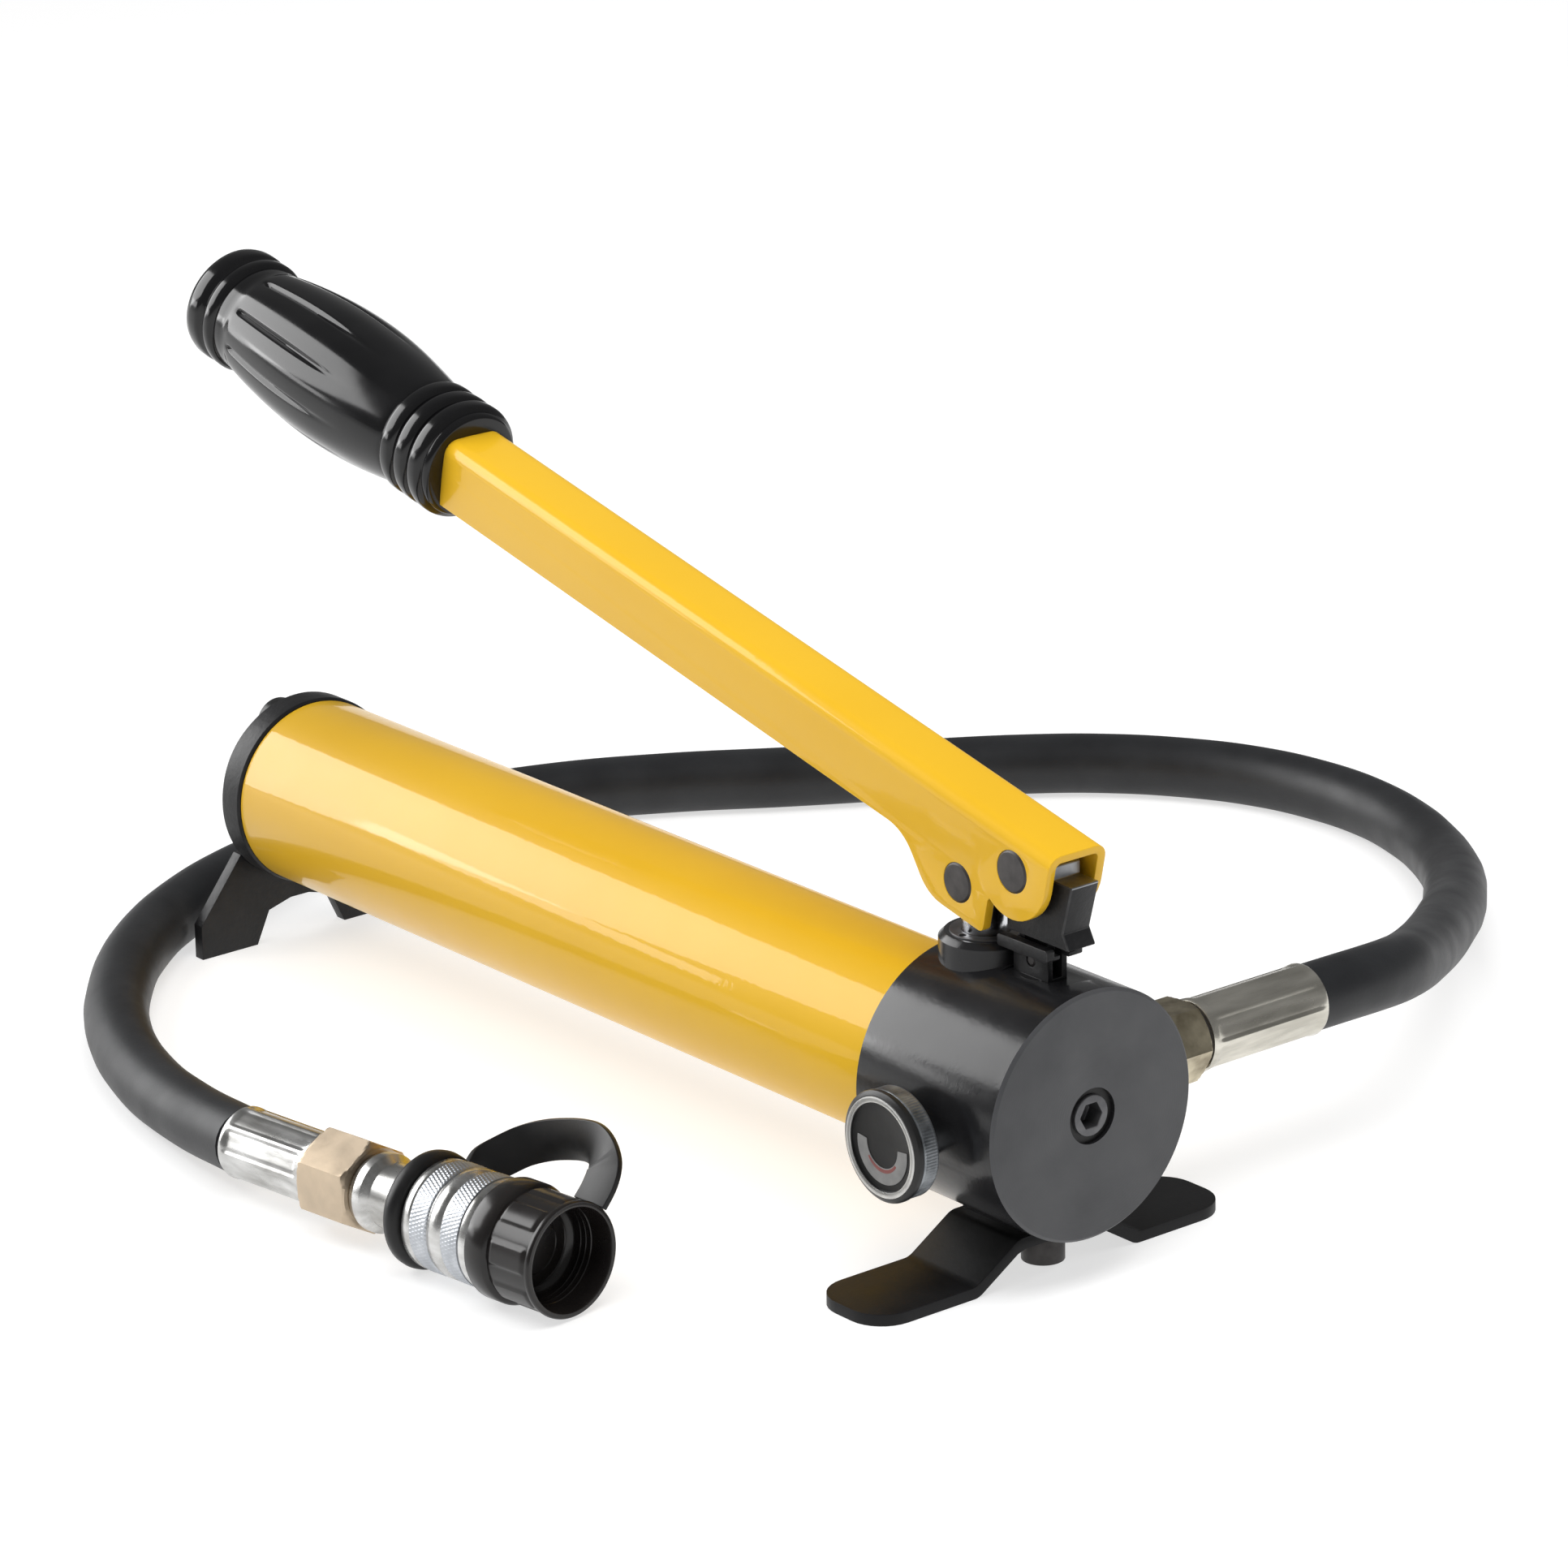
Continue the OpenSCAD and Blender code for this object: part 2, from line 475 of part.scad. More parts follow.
// ---- coupler: in its own frame, 0 is the dust cap's mouth and +Y runs back to the hose ----
collar_y0 = 22.4;
collar_y1 = 45.8;
nut_y0 = 69.4;
nut_y1 = 86.9;
module coupler_ferrule() color([0.8, 0.82, 0.83]) in_coupler() turned_y([[0, nut_y1], [ferrule_r - 0.4, nut_y1],
    [ferrule_r, nut_y1 + 0.7], [ferrule_r, ferrule_back - 0.7], [ferrule_r - 0.4, ferrule_back], [0, ferrule_back]], [0, 0]);
module coupler_nut() color([0.78, 0.71, 0.6]) in_coupler() difference() {
    translate([0, nut_y0, 0]) rotate([-90, 0, 0]) hex(nut_y1 - nut_y0, 21);
    rod_y(nut_y0 - 1, nut_y1 + 1, 3, [0, 0]);
}
module coupler_body() color([0.75, 0.77, 0.79]) in_coupler() difference() {
    turned_y([[0, collar_y0 + 0.6], [10.6, collar_y0 + 0.6], [10.6, collar_y1], [8.3, collar_y1], [8.3, 63],
        [10, 64.6], [10, 68.2], [9, nut_y0], [0, nut_y0]], [0, 0]);
    rod_y(20, 36, 7.2, [0, 0]);
    rod_y(35, 52, 5, [0, 0]);
    rod_y(51, 71, 3, [0, 0]);
}
module coupler_collar() color([0.72, 0.74, 0.76]) in_coupler() difference() {
    turned_y([[0, collar_y0], [collar_r - 0.6, collar_y0], [collar_r, collar_y0 + 0.8], [collar_r, collar_y1 - 0.8],
        [collar_r - 0.6, collar_y1], [0, collar_y1]], [0, 0]);
    rod_y(20, 50, 10.6 + gap, [0, 0]);
}
module coupler_poppet() color([0.8, 0.8, 0.82]) in_coupler()
    turned_y([[0, 36.6], [2.4, 36.6], [5 - gap, 39], [5 - gap, 43], [0, 43]], [0, 0]);
module poppet_spring() color([0.7, 0.7, 0.72]) in_coupler() coil(47.2, 52, 4.2, 0.45, 3, [0, 0]);
module strap_ring() color([0.09, 0.09, 0.1]) in_coupler() difference() {
    turned_y([[0, 46.3], [13.8, 46.3], [14.8, 47.5], [14.8, 51], [13.8, 52.2], [0, 52.2]], [0, 0]);
    rod_y(45, 54, 8.3 + gap, [0, 0]);
}
// Flat strap from the ring to the cap: its middle line in the coupler's frame, and which way its width runs
strap_route = [
    [14.4, 49.2, 4.6], [18.2, 48.8, 6.2], [21.9, 46.6, 8.2], [25.2, 42.4, 10.8], [26.9, 36, 13.3], [26.6, 28, 15.7],
    [24.6, 20.2, 17.9], [21.9, 13.6, 19.2], [19.4, 9, 18.3], [17.6, 6.8, 15.9], [15, 6, 12.9], [12.1, 6, 9.7]
];
strap_width = [
    [-0.3, 0, 1], [0, 0.3, 1], [0, 0.5, 0.9], [0, 0.5, 0.9], [0, 0.5, 1], [0, 0.4, 1],
    [0, 0.2, 1], [0.2, -0.2, 0.9], [0.4, -0.6, 0.7], [0.5, -0.8, 0.4], [0.2, -1, 0], [0, -1, -0.1]
];
strap_half = [5, 0.8];
module cap_strap() color([0.09, 0.09, 0.1]) in_coupler() skin([for (i = [0:len(strap_route) - 1])
    let (last = len(strap_route) - 1,
        t = tangent(strap_route, i, unit(strap_route[1] - strap_route[0]), unit(strap_route[last] - strap_route[last - 1])),
        up = unit(cross(t, strap_width[i])), side = cross(up, t))
    [for (p = [[1, 1], [-1, 1], [-1, -1], [1, -1]])
        strap_route[i] + p[0] * strap_half[0] * side + p[1] * strap_half[1] * up]]);
module dust_cap() color([0.08, 0.08, 0.08]) in_coupler() turned_y([[0, 13], [9.4, 13], [9.4, 9], [12.6, 9],
    [12.8, 0], [cap_r - 0.5, 0], [cap_r, 0.6], [cap_r, 14.6], [cap_r + 0.6, 15.6], [cap_r + 0.6, 21.4],
    [cap_r, 22], [11, 22], [11, 18], [6.8, 18], [6.8, 33], [6, 34], [0, 34]], [0, 0]);

pump_head();
reservoir_tube();
head_gasket();
rear_cap();
cap_gasket();
tie_rod();
tie_washer();
tie_nut();
filler_plug();
front_foot();
foot_bolt();
front_plug();
front_plug_seal();
outlet_ball();
outlet_spring();
inlet_seat();
inlet_ball();
suction_tube();
oil_strainer();
relief_screw();
relief_spring();
relief_ball();
gland_nut();
gland_seal();
plunger();
link_lug();
lug_pin();
link();
lever();
lever_pin_front();
lever_pin_rear();
grip();
release_knob();
knob_ring();
knob_badge();
release_stem();
outlet_adapter();
outlet_nut();
pump_ferrule();
hose();
coupler_ferrule();
coupler_nut();
coupler_body();
coupler_collar();
coupler_poppet();
poppet_spring();
strap_ring();
cap_strap();
dust_cap();
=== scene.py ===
# Looks of the hydraulic hand pump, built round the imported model.
# Lengths in the dictionaries are millimetres, angles degrees.
import math

import bmesh
import bpy
from mathutils import Matrix, Vector


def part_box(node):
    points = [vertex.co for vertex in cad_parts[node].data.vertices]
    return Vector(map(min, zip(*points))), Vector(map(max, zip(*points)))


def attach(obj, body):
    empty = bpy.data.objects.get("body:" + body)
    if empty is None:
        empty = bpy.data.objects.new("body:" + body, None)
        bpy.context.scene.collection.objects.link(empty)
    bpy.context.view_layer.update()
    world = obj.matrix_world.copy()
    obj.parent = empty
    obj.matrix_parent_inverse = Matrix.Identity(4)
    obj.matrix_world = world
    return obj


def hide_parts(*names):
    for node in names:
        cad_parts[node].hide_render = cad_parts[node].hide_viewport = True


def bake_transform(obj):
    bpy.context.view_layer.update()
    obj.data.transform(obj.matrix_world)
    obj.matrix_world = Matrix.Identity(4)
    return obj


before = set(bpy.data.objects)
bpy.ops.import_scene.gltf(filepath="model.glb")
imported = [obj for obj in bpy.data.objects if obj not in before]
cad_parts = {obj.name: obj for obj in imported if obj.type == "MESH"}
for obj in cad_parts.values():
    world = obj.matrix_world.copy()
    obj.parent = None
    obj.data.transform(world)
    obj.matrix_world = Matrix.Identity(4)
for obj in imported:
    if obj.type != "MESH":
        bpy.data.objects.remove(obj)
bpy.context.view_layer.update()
print("frame loaded,", len(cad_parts), "nodes")

mm = 0.001
scene = bpy.context.scene


def point(x, y, z):
    return Vector((x, y, z)) * mm


def middle(node):
    low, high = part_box(node)
    return (low + high) / 2


# Places: each has the axis of its turned pieces along its own +Y
leverSettings = {"angle": 12.3, "gripAxis": 0.75, "gripStart": 227}
couplerSettings = {"mouth": (-105.2, -109.3, 15.2), "yaw": 6, "dip": 1}
leverPlace = Matrix.Translation(middle("lever_pin_front")) @ Matrix.Rotation(
    math.radians(leverSettings["angle"]), 4, "X")
couplerPlace = (Matrix.Translation(point(*couplerSettings["mouth"]))
                @ Matrix.Rotation(math.radians(couplerSettings["yaw"]), 4, "Z")
                @ Matrix.Rotation(math.radians(-couplerSettings["dip"]), 4, "X"))
towardRight = Matrix.Rotation(math.radians(-90), 4, "Z")
towardLeft = Matrix.Rotation(math.radians(90), 4, "Z")


# Camera, from the front left and a little above
cameraSettings = {"azimuth": -38.83, "elevation": 19.08, "roll": -1.02,
                  "distance": 1741.7, "target": (28.92, -25.3, 81.45), "lens": 157.92}


def setCamera(s):
    a, e = math.radians(s["azimuth"]), math.radians(s["elevation"])
    back = Vector((math.sin(a) * math.cos(e), -math.cos(a) * math.cos(e), math.sin(e)))
    camera = bpy.data.objects.new("camera", bpy.data.cameras.new("camera"))
    camera.data.lens, camera.data.sensor_width = s["lens"], 36
    camera.data.clip_start, camera.data.clip_end = 0.05, 50
    camera.matrix_world = (Matrix.Translation(point(*s["target"]) + back * s["distance"] * mm)
                           @ back.to_track_quat("Z", "Y").to_matrix().to_4x4()
                           @ Matrix.Rotation(math.radians(s["roll"]), 4, "Z"))
    scene.collection.objects.link(camera)
    scene.camera = camera


setCamera(cameraSettings)


# Finishes
def finish(name, look):
    # one procedural finish: a two-tone mottle, roughness that drifts, and up to two layers of grain
    made = bpy.data.materials.new(name)
    made.use_nodes = True
    tree = made.node_tree
    link = tree.links.new
    shader = tree.nodes["Principled BSDF"]
    shader.inputs["Metallic"].default_value = look.get("metallic", 0)
    shader.inputs["Coat Weight"].default_value = look.get("coat", 0)
    shader.inputs["Coat Roughness"].default_value = look.get("coatRoughness", 0.06)
    shader.inputs["IOR"].default_value = 1.5
    shader.inputs["Specular IOR Level"].default_value = look.get("gloss", 0.5)
    coordinates = tree.nodes.new("ShaderNodeTexCoord")

    def pattern(scale, detail, stretch=(1, 1, 1), turn=(0, 0, 0), centre=(0, 0, 0)):
        shift = tree.nodes.new("ShaderNodeMapping")
        shift.vector_type = "TEXTURE"
        shift.inputs["Location"].default_value = centre
        shift.inputs["Rotation"].default_value = [math.radians(t) for t in turn]
        shift.inputs["Scale"].default_value = stretch
        link(coordinates.outputs["Object"], shift.inputs["Vector"])
        texture = tree.nodes.new("ShaderNodeTexNoise")
        texture.inputs["Scale"].default_value = scale
        texture.inputs["Detail"].default_value = detail
        link(shift.outputs["Vector"], texture.inputs["Vector"])
        return texture.outputs["Fac"], shift

    def spread(factor, low, high, fromLow=0.3, fromHigh=0.7):
        drift = tree.nodes.new("ShaderNodeMapRange")
        drift.inputs["From Min"].default_value, drift.inputs["From Max"].default_value = fromLow, fromHigh
        drift.inputs["To Min"].default_value, drift.inputs["To Max"].default_value = low, high
        link(factor, drift.inputs["Value"])
        return drift.outputs["Result"]

    stretch, turn = look.get("toneStretch", (1, 1, 1)), look.get("turn", (0, 0, 0))
    tone, _ = pattern(look["toneScale"], 4, stretch, turn)
    mix = tree.nodes.new("ShaderNodeMix")
    mix.data_type = "RGBA"
    mix.inputs[6].default_value = (*look["colour"], 1)
    mix.inputs[7].default_value = (*look.get("shade", look["colour"]), 1)
    link(spread(tone, 0, 1), mix.inputs[0])
    link(mix.outputs[2], shader.inputs["Base Color"])
    wear, _ = pattern(90, 5, stretch, turn)
    duller, glossier = look["roughness"] + look["drift"], look["roughness"] - look["drift"]
    link(spread(wear, glossier, duller), shader.inputs["Roughness"])
    height = None
    for layer in look["grain"]:
        if layer.get("rings"):
            _, shift = pattern(1, 1, centre=layer["rings"])
            texture = tree.nodes.new("ShaderNodeTexWave")
            texture.wave_type, texture.rings_direction = "RINGS", "Y"
            texture.inputs["Scale"].default_value = layer["scale"]
            texture.inputs["Distortion"].default_value = 0.6
            texture.inputs["Detail"].default_value = 3
            texture.inputs["Detail Scale"].default_value = 3
            link(shift.outputs["Vector"], texture.inputs["Vector"])
            factor = texture.outputs["Fac"]
        else:
            factor, _ = pattern(layer["scale"], layer.get("detail", 2), layer.get("stretch", (1, 1, 1)), turn)
        bump = tree.nodes.new("ShaderNodeBump")
        bump.inputs["Strength"].default_value = layer["strength"]
        bump.inputs["Distance"].default_value = layer["depth"] * mm
        link(factor, bump.inputs["Height"])
        if height:
            link(height, bump.inputs["Normal"])
        height = bump.outputs["Normal"]
    link(height, shader.inputs["Normal"])
    if look.get("coat"):
        link(height, shader.inputs["Coat Normal"])
    return made


headMiddle = middle("front_plug")
alongCoupler = (0, 0, couplerSettings["yaw"])
looks = {
    "yellowEnamel": {"colour": (0.83, 0.49, 0.020), "shade": (0.79, 0.455, 0.016), "toneScale": 14,
                     "roughness": 0.42, "drift": 0.03, "coat": 0.48, "coatRoughness": 0.05, "gloss": 0.15,
                     "grain": [{"scale": 420, "strength": 0.10, "depth": 0.25},
                               {"scale": 60, "strength": 0.06, "depth": 0.6}]},
    "blackEnamel": {"colour": (0.008, 0.008, 0.009), "shade": (0.014, 0.014, 0.015), "toneScale": 55,
                    "roughness": 0.20, "drift": 0.04, "gloss": 0.36,
                    "grain": [{"scale": 900, "strength": 0.12, "depth": 0.2, "detail": 4},
                              {"scale": 160, "strength": 0.06, "depth": 0.4}]},
    "turnedFace": {"colour": (0.075, 0.076, 0.08), "shade": (0.055, 0.056, 0.06), "toneScale": 60,
                   "roughness": 0.52, "drift": 0.04, "metallic": 0.15,
                   "grain": [{"rings": (headMiddle.x, 0, headMiddle.z), "scale": 420, "strength": 0.14,
                              "depth": 0.05},
                             {"scale": 1200, "strength": 0.10, "depth": 0.1}]},
    "castBlack": {"colour": (0.006, 0.006, 0.007), "shade": (0.013, 0.013, 0.014), "toneScale": 120,
                  "roughness": 0.46, "drift": 0.07, "gloss": 0.32,
                  "grain": [{"scale": 700, "strength": 0.35, "depth": 0.3, "detail": 5},
                            {"scale": 120, "strength": 0.15, "depth": 0.5}]},
    # painted highlight: a lighter grey for the rounded edges of the lug and link, standing in for the light
    # they catch
    "edgeHighlightPaint": {"colour": (0.055, 0.055, 0.056), "shade": (0.020, 0.020, 0.021), "toneScale": 260,
                 "roughness": 0.42, "drift": 0.07, "metallic": 0.35,
                 "grain": [{"scale": 900, "strength": 0.25, "depth": 0.2, "detail": 5}]},
    "sheetBlack": {"colour": (0.006, 0.006, 0.0065), "shade": (0.011, 0.011, 0.012), "toneScale": 90,
                   "roughness": 0.46, "drift": 0.06, "gloss": 0.2,
                   "grain": [{"scale": 1100, "strength": 0.16, "depth": 0.15, "detail": 4}]},
    "gripMoulding": {"colour": (0.003, 0.003, 0.0035), "shade": (0.006, 0.006, 0.0065), "toneScale": 60,
                     "roughness": 0.15, "drift": 0.03, "gloss": 0.42,
                     "grain": [{"scale": 90, "strength": 0.04, "depth": 0.6}]},
    "hoseRubber": {"colour": (0.010, 0.0105, 0.012), "shade": (0.017, 0.018, 0.020), "toneScale": 70,
                   "roughness": 0.50, "drift": 0.05, "gloss": 0.42,
                   "grain": [{"scale": 1500, "strength": 0.25, "depth": 0.12, "detail": 4},
                             {"scale": 200, "strength": 0.08, "depth": 0.3}]},
    "softBlack": {"colour": (0.007, 0.007, 0.0075), "shade": (0.013, 0.0125, 0.0125), "toneScale": 90,
                  "roughness": 0.42, "drift": 0.06, "gloss": 0.32,
                  "grain": [{"scale": 900, "strength": 0.12, "depth": 0.12}]},
    "capMoulding": {"colour": (0.007, 0.006, 0.006), "shade": (0.014, 0.012, 0.011), "toneScale": 120,
                    "roughness": 0.24, "drift": 0.05, "gloss": 0.4,
                    "grain": [{"scale": 260, "strength": 0.07, "depth": 0.3}]},
    "knobMoulding": {"colour": (0.008, 0.008, 0.008), "shade": (0.014, 0.014, 0.014), "toneScale": 150,
                     "roughness": 0.34, "drift": 0.05, "gloss": 0.35,
                     "grain": [{"scale": 1200, "strength": 0.10, "depth": 0.1}]},
    "zincPlate": {"colour": (0.70, 0.70, 0.69), "shade": (0.34, 0.335, 0.32), "toneScale": 220, "metallic": 1,
                  "toneStretch": (1, 3, 1), "turn": alongCoupler,
                  "roughness": 0.27, "drift": 0.08,
                  "grain": [{"scale": 1400, "strength": 0.12, "depth": 0.1, "stretch": (1, 6, 1)}]},
    "zincPlateAcross": {"colour": (0.90, 0.87, 0.78), "shade": (0.50, 0.48, 0.42), "toneScale": 200,
                        "metallic": 1, "toneStretch": (5, 1, 1),
                        "roughness": 0.27, "drift": 0.08,
                        "grain": [{"scale": 1400, "strength": 0.12, "depth": 0.1, "stretch": (6, 1, 1)}]},
    "knurledZinc": {"colour": (0.56, 0.58, 0.61), "shade": (0.42, 0.44, 0.47), "toneScale": 260,
                    "metallic": 1, "roughness": 0.40, "drift": 0.08,
                    "grain": [{"scale": 1800, "strength": 0.2, "depth": 0.1, "detail": 4}]},
    "warmNickel": {"colour": (0.58, 0.47, 0.345), "shade": (0.46, 0.375, 0.28), "toneScale": 130,
                   "metallic": 1, "roughness": 0.34, "drift": 0.07,
                   "grain": [{"scale": 1000, "strength": 0.12, "depth": 0.12, "detail": 4}]},
    "tarnished": {"colour": (0.66, 0.59, 0.43), "shade": (0.24, 0.20, 0.13), "toneScale": 160, "metallic": 1,
                  "roughness": 0.36, "drift": 0.10,
                  "grain": [{"scale": 900, "strength": 0.2, "depth": 0.15, "detail": 4}]},
    "bareSteel": {"colour": (0.42, 0.43, 0.45), "shade": (0.26, 0.27, 0.28), "toneScale": 140, "metallic": 1,
                  "roughness": 0.42, "drift": 0.08,
                  "grain": [{"scale": 1500, "strength": 0.15, "depth": 0.1, "stretch": (1, 1, 5)}]},
    "groundSteel": {"colour": (0.70, 0.71, 0.73), "shade": (0.62, 0.63, 0.65), "toneScale": 200,
                    "metallic": 1, "roughness": 0.16, "drift": 0.05,
                    "grain": [{"scale": 2500, "strength": 0.06, "depth": 0.05}]},
    "darkSteel": {"colour": (0.030, 0.027, 0.027), "shade": (0.060, 0.055, 0.053), "toneScale": 260,
                  "roughness": 0.46, "drift": 0.08, "metallic": 0.35,
                  "grain": [{"scale": 1300, "strength": 0.2, "depth": 0.12, "detail": 4}]},
    "plugSteel": {"colour": (0.13, 0.13, 0.135), "shade": (0.08, 0.08, 0.085), "toneScale": 260,
                  "metallic": 0.7, "roughness": 0.36, "drift": 0.08,
                  "grain": [{"scale": 1500, "strength": 0.15, "depth": 0.1}]},
    "greyRing": {"colour": (0.34, 0.36, 0.38), "shade": (0.12, 0.13, 0.14), "toneScale": 240, "metallic": 0.8,
                 "roughness": 0.40, "drift": 0.08,
                 "grain": [{"scale": 1500, "strength": 0.2, "depth": 0.1}]},
    "brightTrim": {"colour": (0.62, 0.62, 0.60), "shade": (0.45, 0.45, 0.44), "toneScale": 180,
                   "metallic": 0.9, "roughness": 0.30, "drift": 0.08,
                   "grain": [{"scale": 1500, "strength": 0.1, "depth": 0.1}]},
    "arcGrey": {"colour": (0.24, 0.24, 0.235), "shade": (0.17, 0.17, 0.17), "toneScale": 300,
                "roughness": 0.40, "drift": 0.05,
                "grain": [{"scale": 1500, "strength": 0.1, "depth": 0.1}]},
    "arcRed": {"colour": (0.23, 0.055, 0.050), "shade": (0.17, 0.05, 0.045), "toneScale": 300,
               "roughness": 0.40, "drift": 0.05,
               "grain": [{"scale": 1500, "strength": 0.1, "depth": 0.1}]},
    "brassTone": {"colour": (0.66, 0.50, 0.22), "shade": (0.50, 0.38, 0.16), "toneScale": 160, "metallic": 1,
                  "roughness": 0.33, "drift": 0.08,
                  "grain": [{"scale": 1500, "strength": 0.15, "depth": 0.1}]},
}
finishes = {name: finish(name, look) for name, look in looks.items()}
print("finishes made,", len(finishes))


# Making and placing pieces
def lathe(outline, steps=96, closed=False):
    # outline: (radius, place along the axis), turned about +Y
    bm = bmesh.new()
    dots = [bm.verts.new((r * mm, y * mm, 0)) for r, y in outline]
    edges = [bm.edges.new(pair) for pair in zip(dots, dots[1:])]
    if closed:
        edges.append(bm.edges.new((dots[-1], dots[0])))
    bmesh.ops.spin(bm, geom=dots + edges, cent=(0, 0, 0), axis=(0, 1, 0), dvec=(0, 0, 0), angle=math.tau,
                   steps=steps, use_merge=True, use_normal_flip=False, use_duplicate=False)
    bmesh.ops.remove_doubles(bm, verts=bm.verts, dist=1e-7)
    bmesh.ops.recalc_face_normals(bm, faces=bm.faces)
    return bm


def roundEdges(bm, width, above=25, segments=3, only=None):
    sharp = [e for e in bm.edges if len(e.link_faces) == 2 and e.calc_face_angle(0) > math.radians(above)
             and (only is None or only(e))]
    if sharp:
        bmesh.ops.bevel(bm, geom=sharp, offset=width * mm, offset_type="OFFSET", segments=segments,
                        profile=0.5, affect="EDGES", clamp_overlap=True, material=-1, loop_slide=True)
    return bm


def reshape(bm, radiusAt):
    # radiusAt(angle from +Z in degrees, place along the axis, radius) gives the new radius
    for v in bm.verts:
        r = math.hypot(v.co.x, v.co.z)
        if r > 1e-6:
            new = radiusAt(math.degrees(math.atan2(v.co.x, v.co.z)), v.co.y / mm, r / mm) * mm
            v.co.x, v.co.z = v.co.x * new / r, v.co.z * new / r
    return bm


def cadCopy(node, width=0.4, above=30, segments=3, only=None):
    # a copy of a CAD node with its loose triangles merged and its edges rounded
    bm = bmesh.new()
    bm.from_mesh(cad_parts[node].data)
    bmesh.ops.remove_doubles(bm, verts=bm.verts, dist=2e-6)
    bmesh.ops.dissolve_limit(bm, angle_limit=math.radians(0.8), verts=bm.verts, edges=bm.edges)
    return roundEdges(bm, width, above, segments, only)


def settle(bm, name, body, finishNames, nodes=(), place=None, smooth=38, ride=True):
    if place:
        bm.transform(place)
    bmesh.ops.remove_doubles(bm, verts=bm.verts, dist=1e-7)
    bmesh.ops.recalc_face_normals(bm, faces=bm.faces)
    mesh = bpy.data.meshes.new(name)
    bm.to_mesh(mesh)
    bm.free()
    for each in finishNames:
        mesh.materials.append(finishes[each])
    for face in mesh.polygons:
        face.use_smooth = True
    mesh.set_sharp_from_angle(angle=math.radians(smooth))
    piece = bpy.data.objects.new(name, mesh)
    scene.collection.objects.link(piece)
    if ride:
        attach(piece, body)
    if nodes:
        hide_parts(*nodes)
    return piece


def smoothStep(value, low, high):
    t = min(1.0, max(0.0, (value - low) / (high - low)))
    return t * t * (3 - 2 * t)


def span(low, high, count):
    return [low + (high - low) * i / count for i in range(count + 1)]


def curveThrough(points, between):
    # Catmull-Rom line through the points
    line = []
    for i in range(len(points) - 1):
        a, b, c, d = (Vector(points[max(0, min(len(points) - 1, i + k))]) for k in (-1, 0, 1, 2))
        for k in range(between):
            t = k / between
            line.append(0.5 * ((2 * b) + (c - a) * t + (2 * a - 5 * b + 4 * c - d) * t * t
                               + (3 * b - a - 3 * c + d) * t ** 3))
    return line + [Vector(points[-1])]


# Hose: one open line, pump ferrule to coupler ferrule
hoseSettings = {"diameter": 17.2, "length": 836, "exit": (93.2, -149.3, 42.3)}
hoseRoute = [
    (92.2, -149.3, 42.3), (105, -148.9, 42), (117.5, -147, 40.9), (130, -142.7, 38.8), (143, -134.8, 35.4),
    (159, -123.5, 31.2), (176.7, -110.3, 27), (194, -96.3, 22.8), (210, -82.8, 19), (224.5, -68.8, 15.8),
    (237.5, -55.3, 13), (249, -40.8, 10.6), (258.5, -25.8, 9.2), (266, -9.3, 8.6), (270.8, 11.7, 8.6),
    (270.5, 33.7, 8.6), (265.5, 54.2, 8.6), (255.5, 73.2, 8.6), (241, 91.2, 8.6), (223, 106.5, 8.6),
    (196, 124.2, 8.6), (166, 142.7, 8.6), (137, 161.7, 8.6), (106, 177.2, 8.6), (73, 185.7, 8.6),
    (38, 187.7, 8.6), (4, 181.5, 8.6), (-27.5, 167.9, 8.6), (-53, 149.9, 8.6), (-74.2, 127.7, 8.6),
    (-92.2, 101.5, 8.6), (-105.5, 69.7, 8.6), (-113, 38.7, 10.2), (-117.66, 7.1, 13.16),
]


def makeHose(s):
    curve = bpy.data.curves.new("hoseLine", "CURVE")
    curve.dimensions, curve.resolution_u = "3D", 8
    curve.bevel_depth, curve.bevel_resolution = s["diameter"] / 2 * mm, 10
    curve.use_fill_caps = True
    line = curve.splines.new("BEZIER")
    line.bezier_points.add(len(hoseRoute) - 1)
    for knot, place in zip(line.bezier_points, hoseRoute):
        knot.co = point(*place)
        knot.handle_left_type = knot.handle_right_type = "AUTO"
    curve.materials.append(finishes["hoseRubber"])
    hose = bpy.data.objects.new("hoseLine", curve)
    scene.collection.objects.link(hose)
    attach(hose, "root")
    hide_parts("hose")
    return hose


hose = makeHose(hoseSettings)
print("hose laid")


# Crimped ferrules, hexagon nuts
ferruleSettings = {"radius": 9.3, "flats": 8, "flatDepth": 0.45, "ridge": 5, "rim": 2.2, "lip": 0.5,
                   "pump": (55.1, 38.1), "coupler": (86.9, 31.1)}  # start and length


def ferrule(name, reach, place, finishName, node, s):
    start, length = reach
    outline = [(0, 0), (s["radius"] - s["lip"], 0)]
    outline += [(s["radius"], y) for y in span(0.6, length - 0.9, 36)]
    outline += [(s["radius"] - 0.25, length - 0.3), (s["radius"] - 0.5, length), (8, length), (8, length - 2),
                (0, length - 2)]
    bm = lathe(outline, 128)
    sector = 360 / s["flats"]

    def crimp(angle, y, r):
        if r < s["radius"] - 0.1:
            return r
        off = abs((angle + sector / 2) % sector - sector / 2)  # from the nearest ridge
        inZone = smoothStep(y, s["rim"] - 1, s["rim"] + 0.6) * (1 - smoothStep(y, length - s["rim"] - 0.6,
                                                                             length - s["rim"] + 0.8))
        return r - s["flatDepth"] * inZone * (smoothStep(off, s["ridge"] - 3, s["ridge"] + 1.5)
                                              + 0.5 * smoothStep(off, s["ridge"], sector / 2))

    reshape(bm, crimp)
    settle(bm, name, "root", [finishName], [node], place @ Matrix.Translation((0, start * mm, 0)),
           smooth=50)


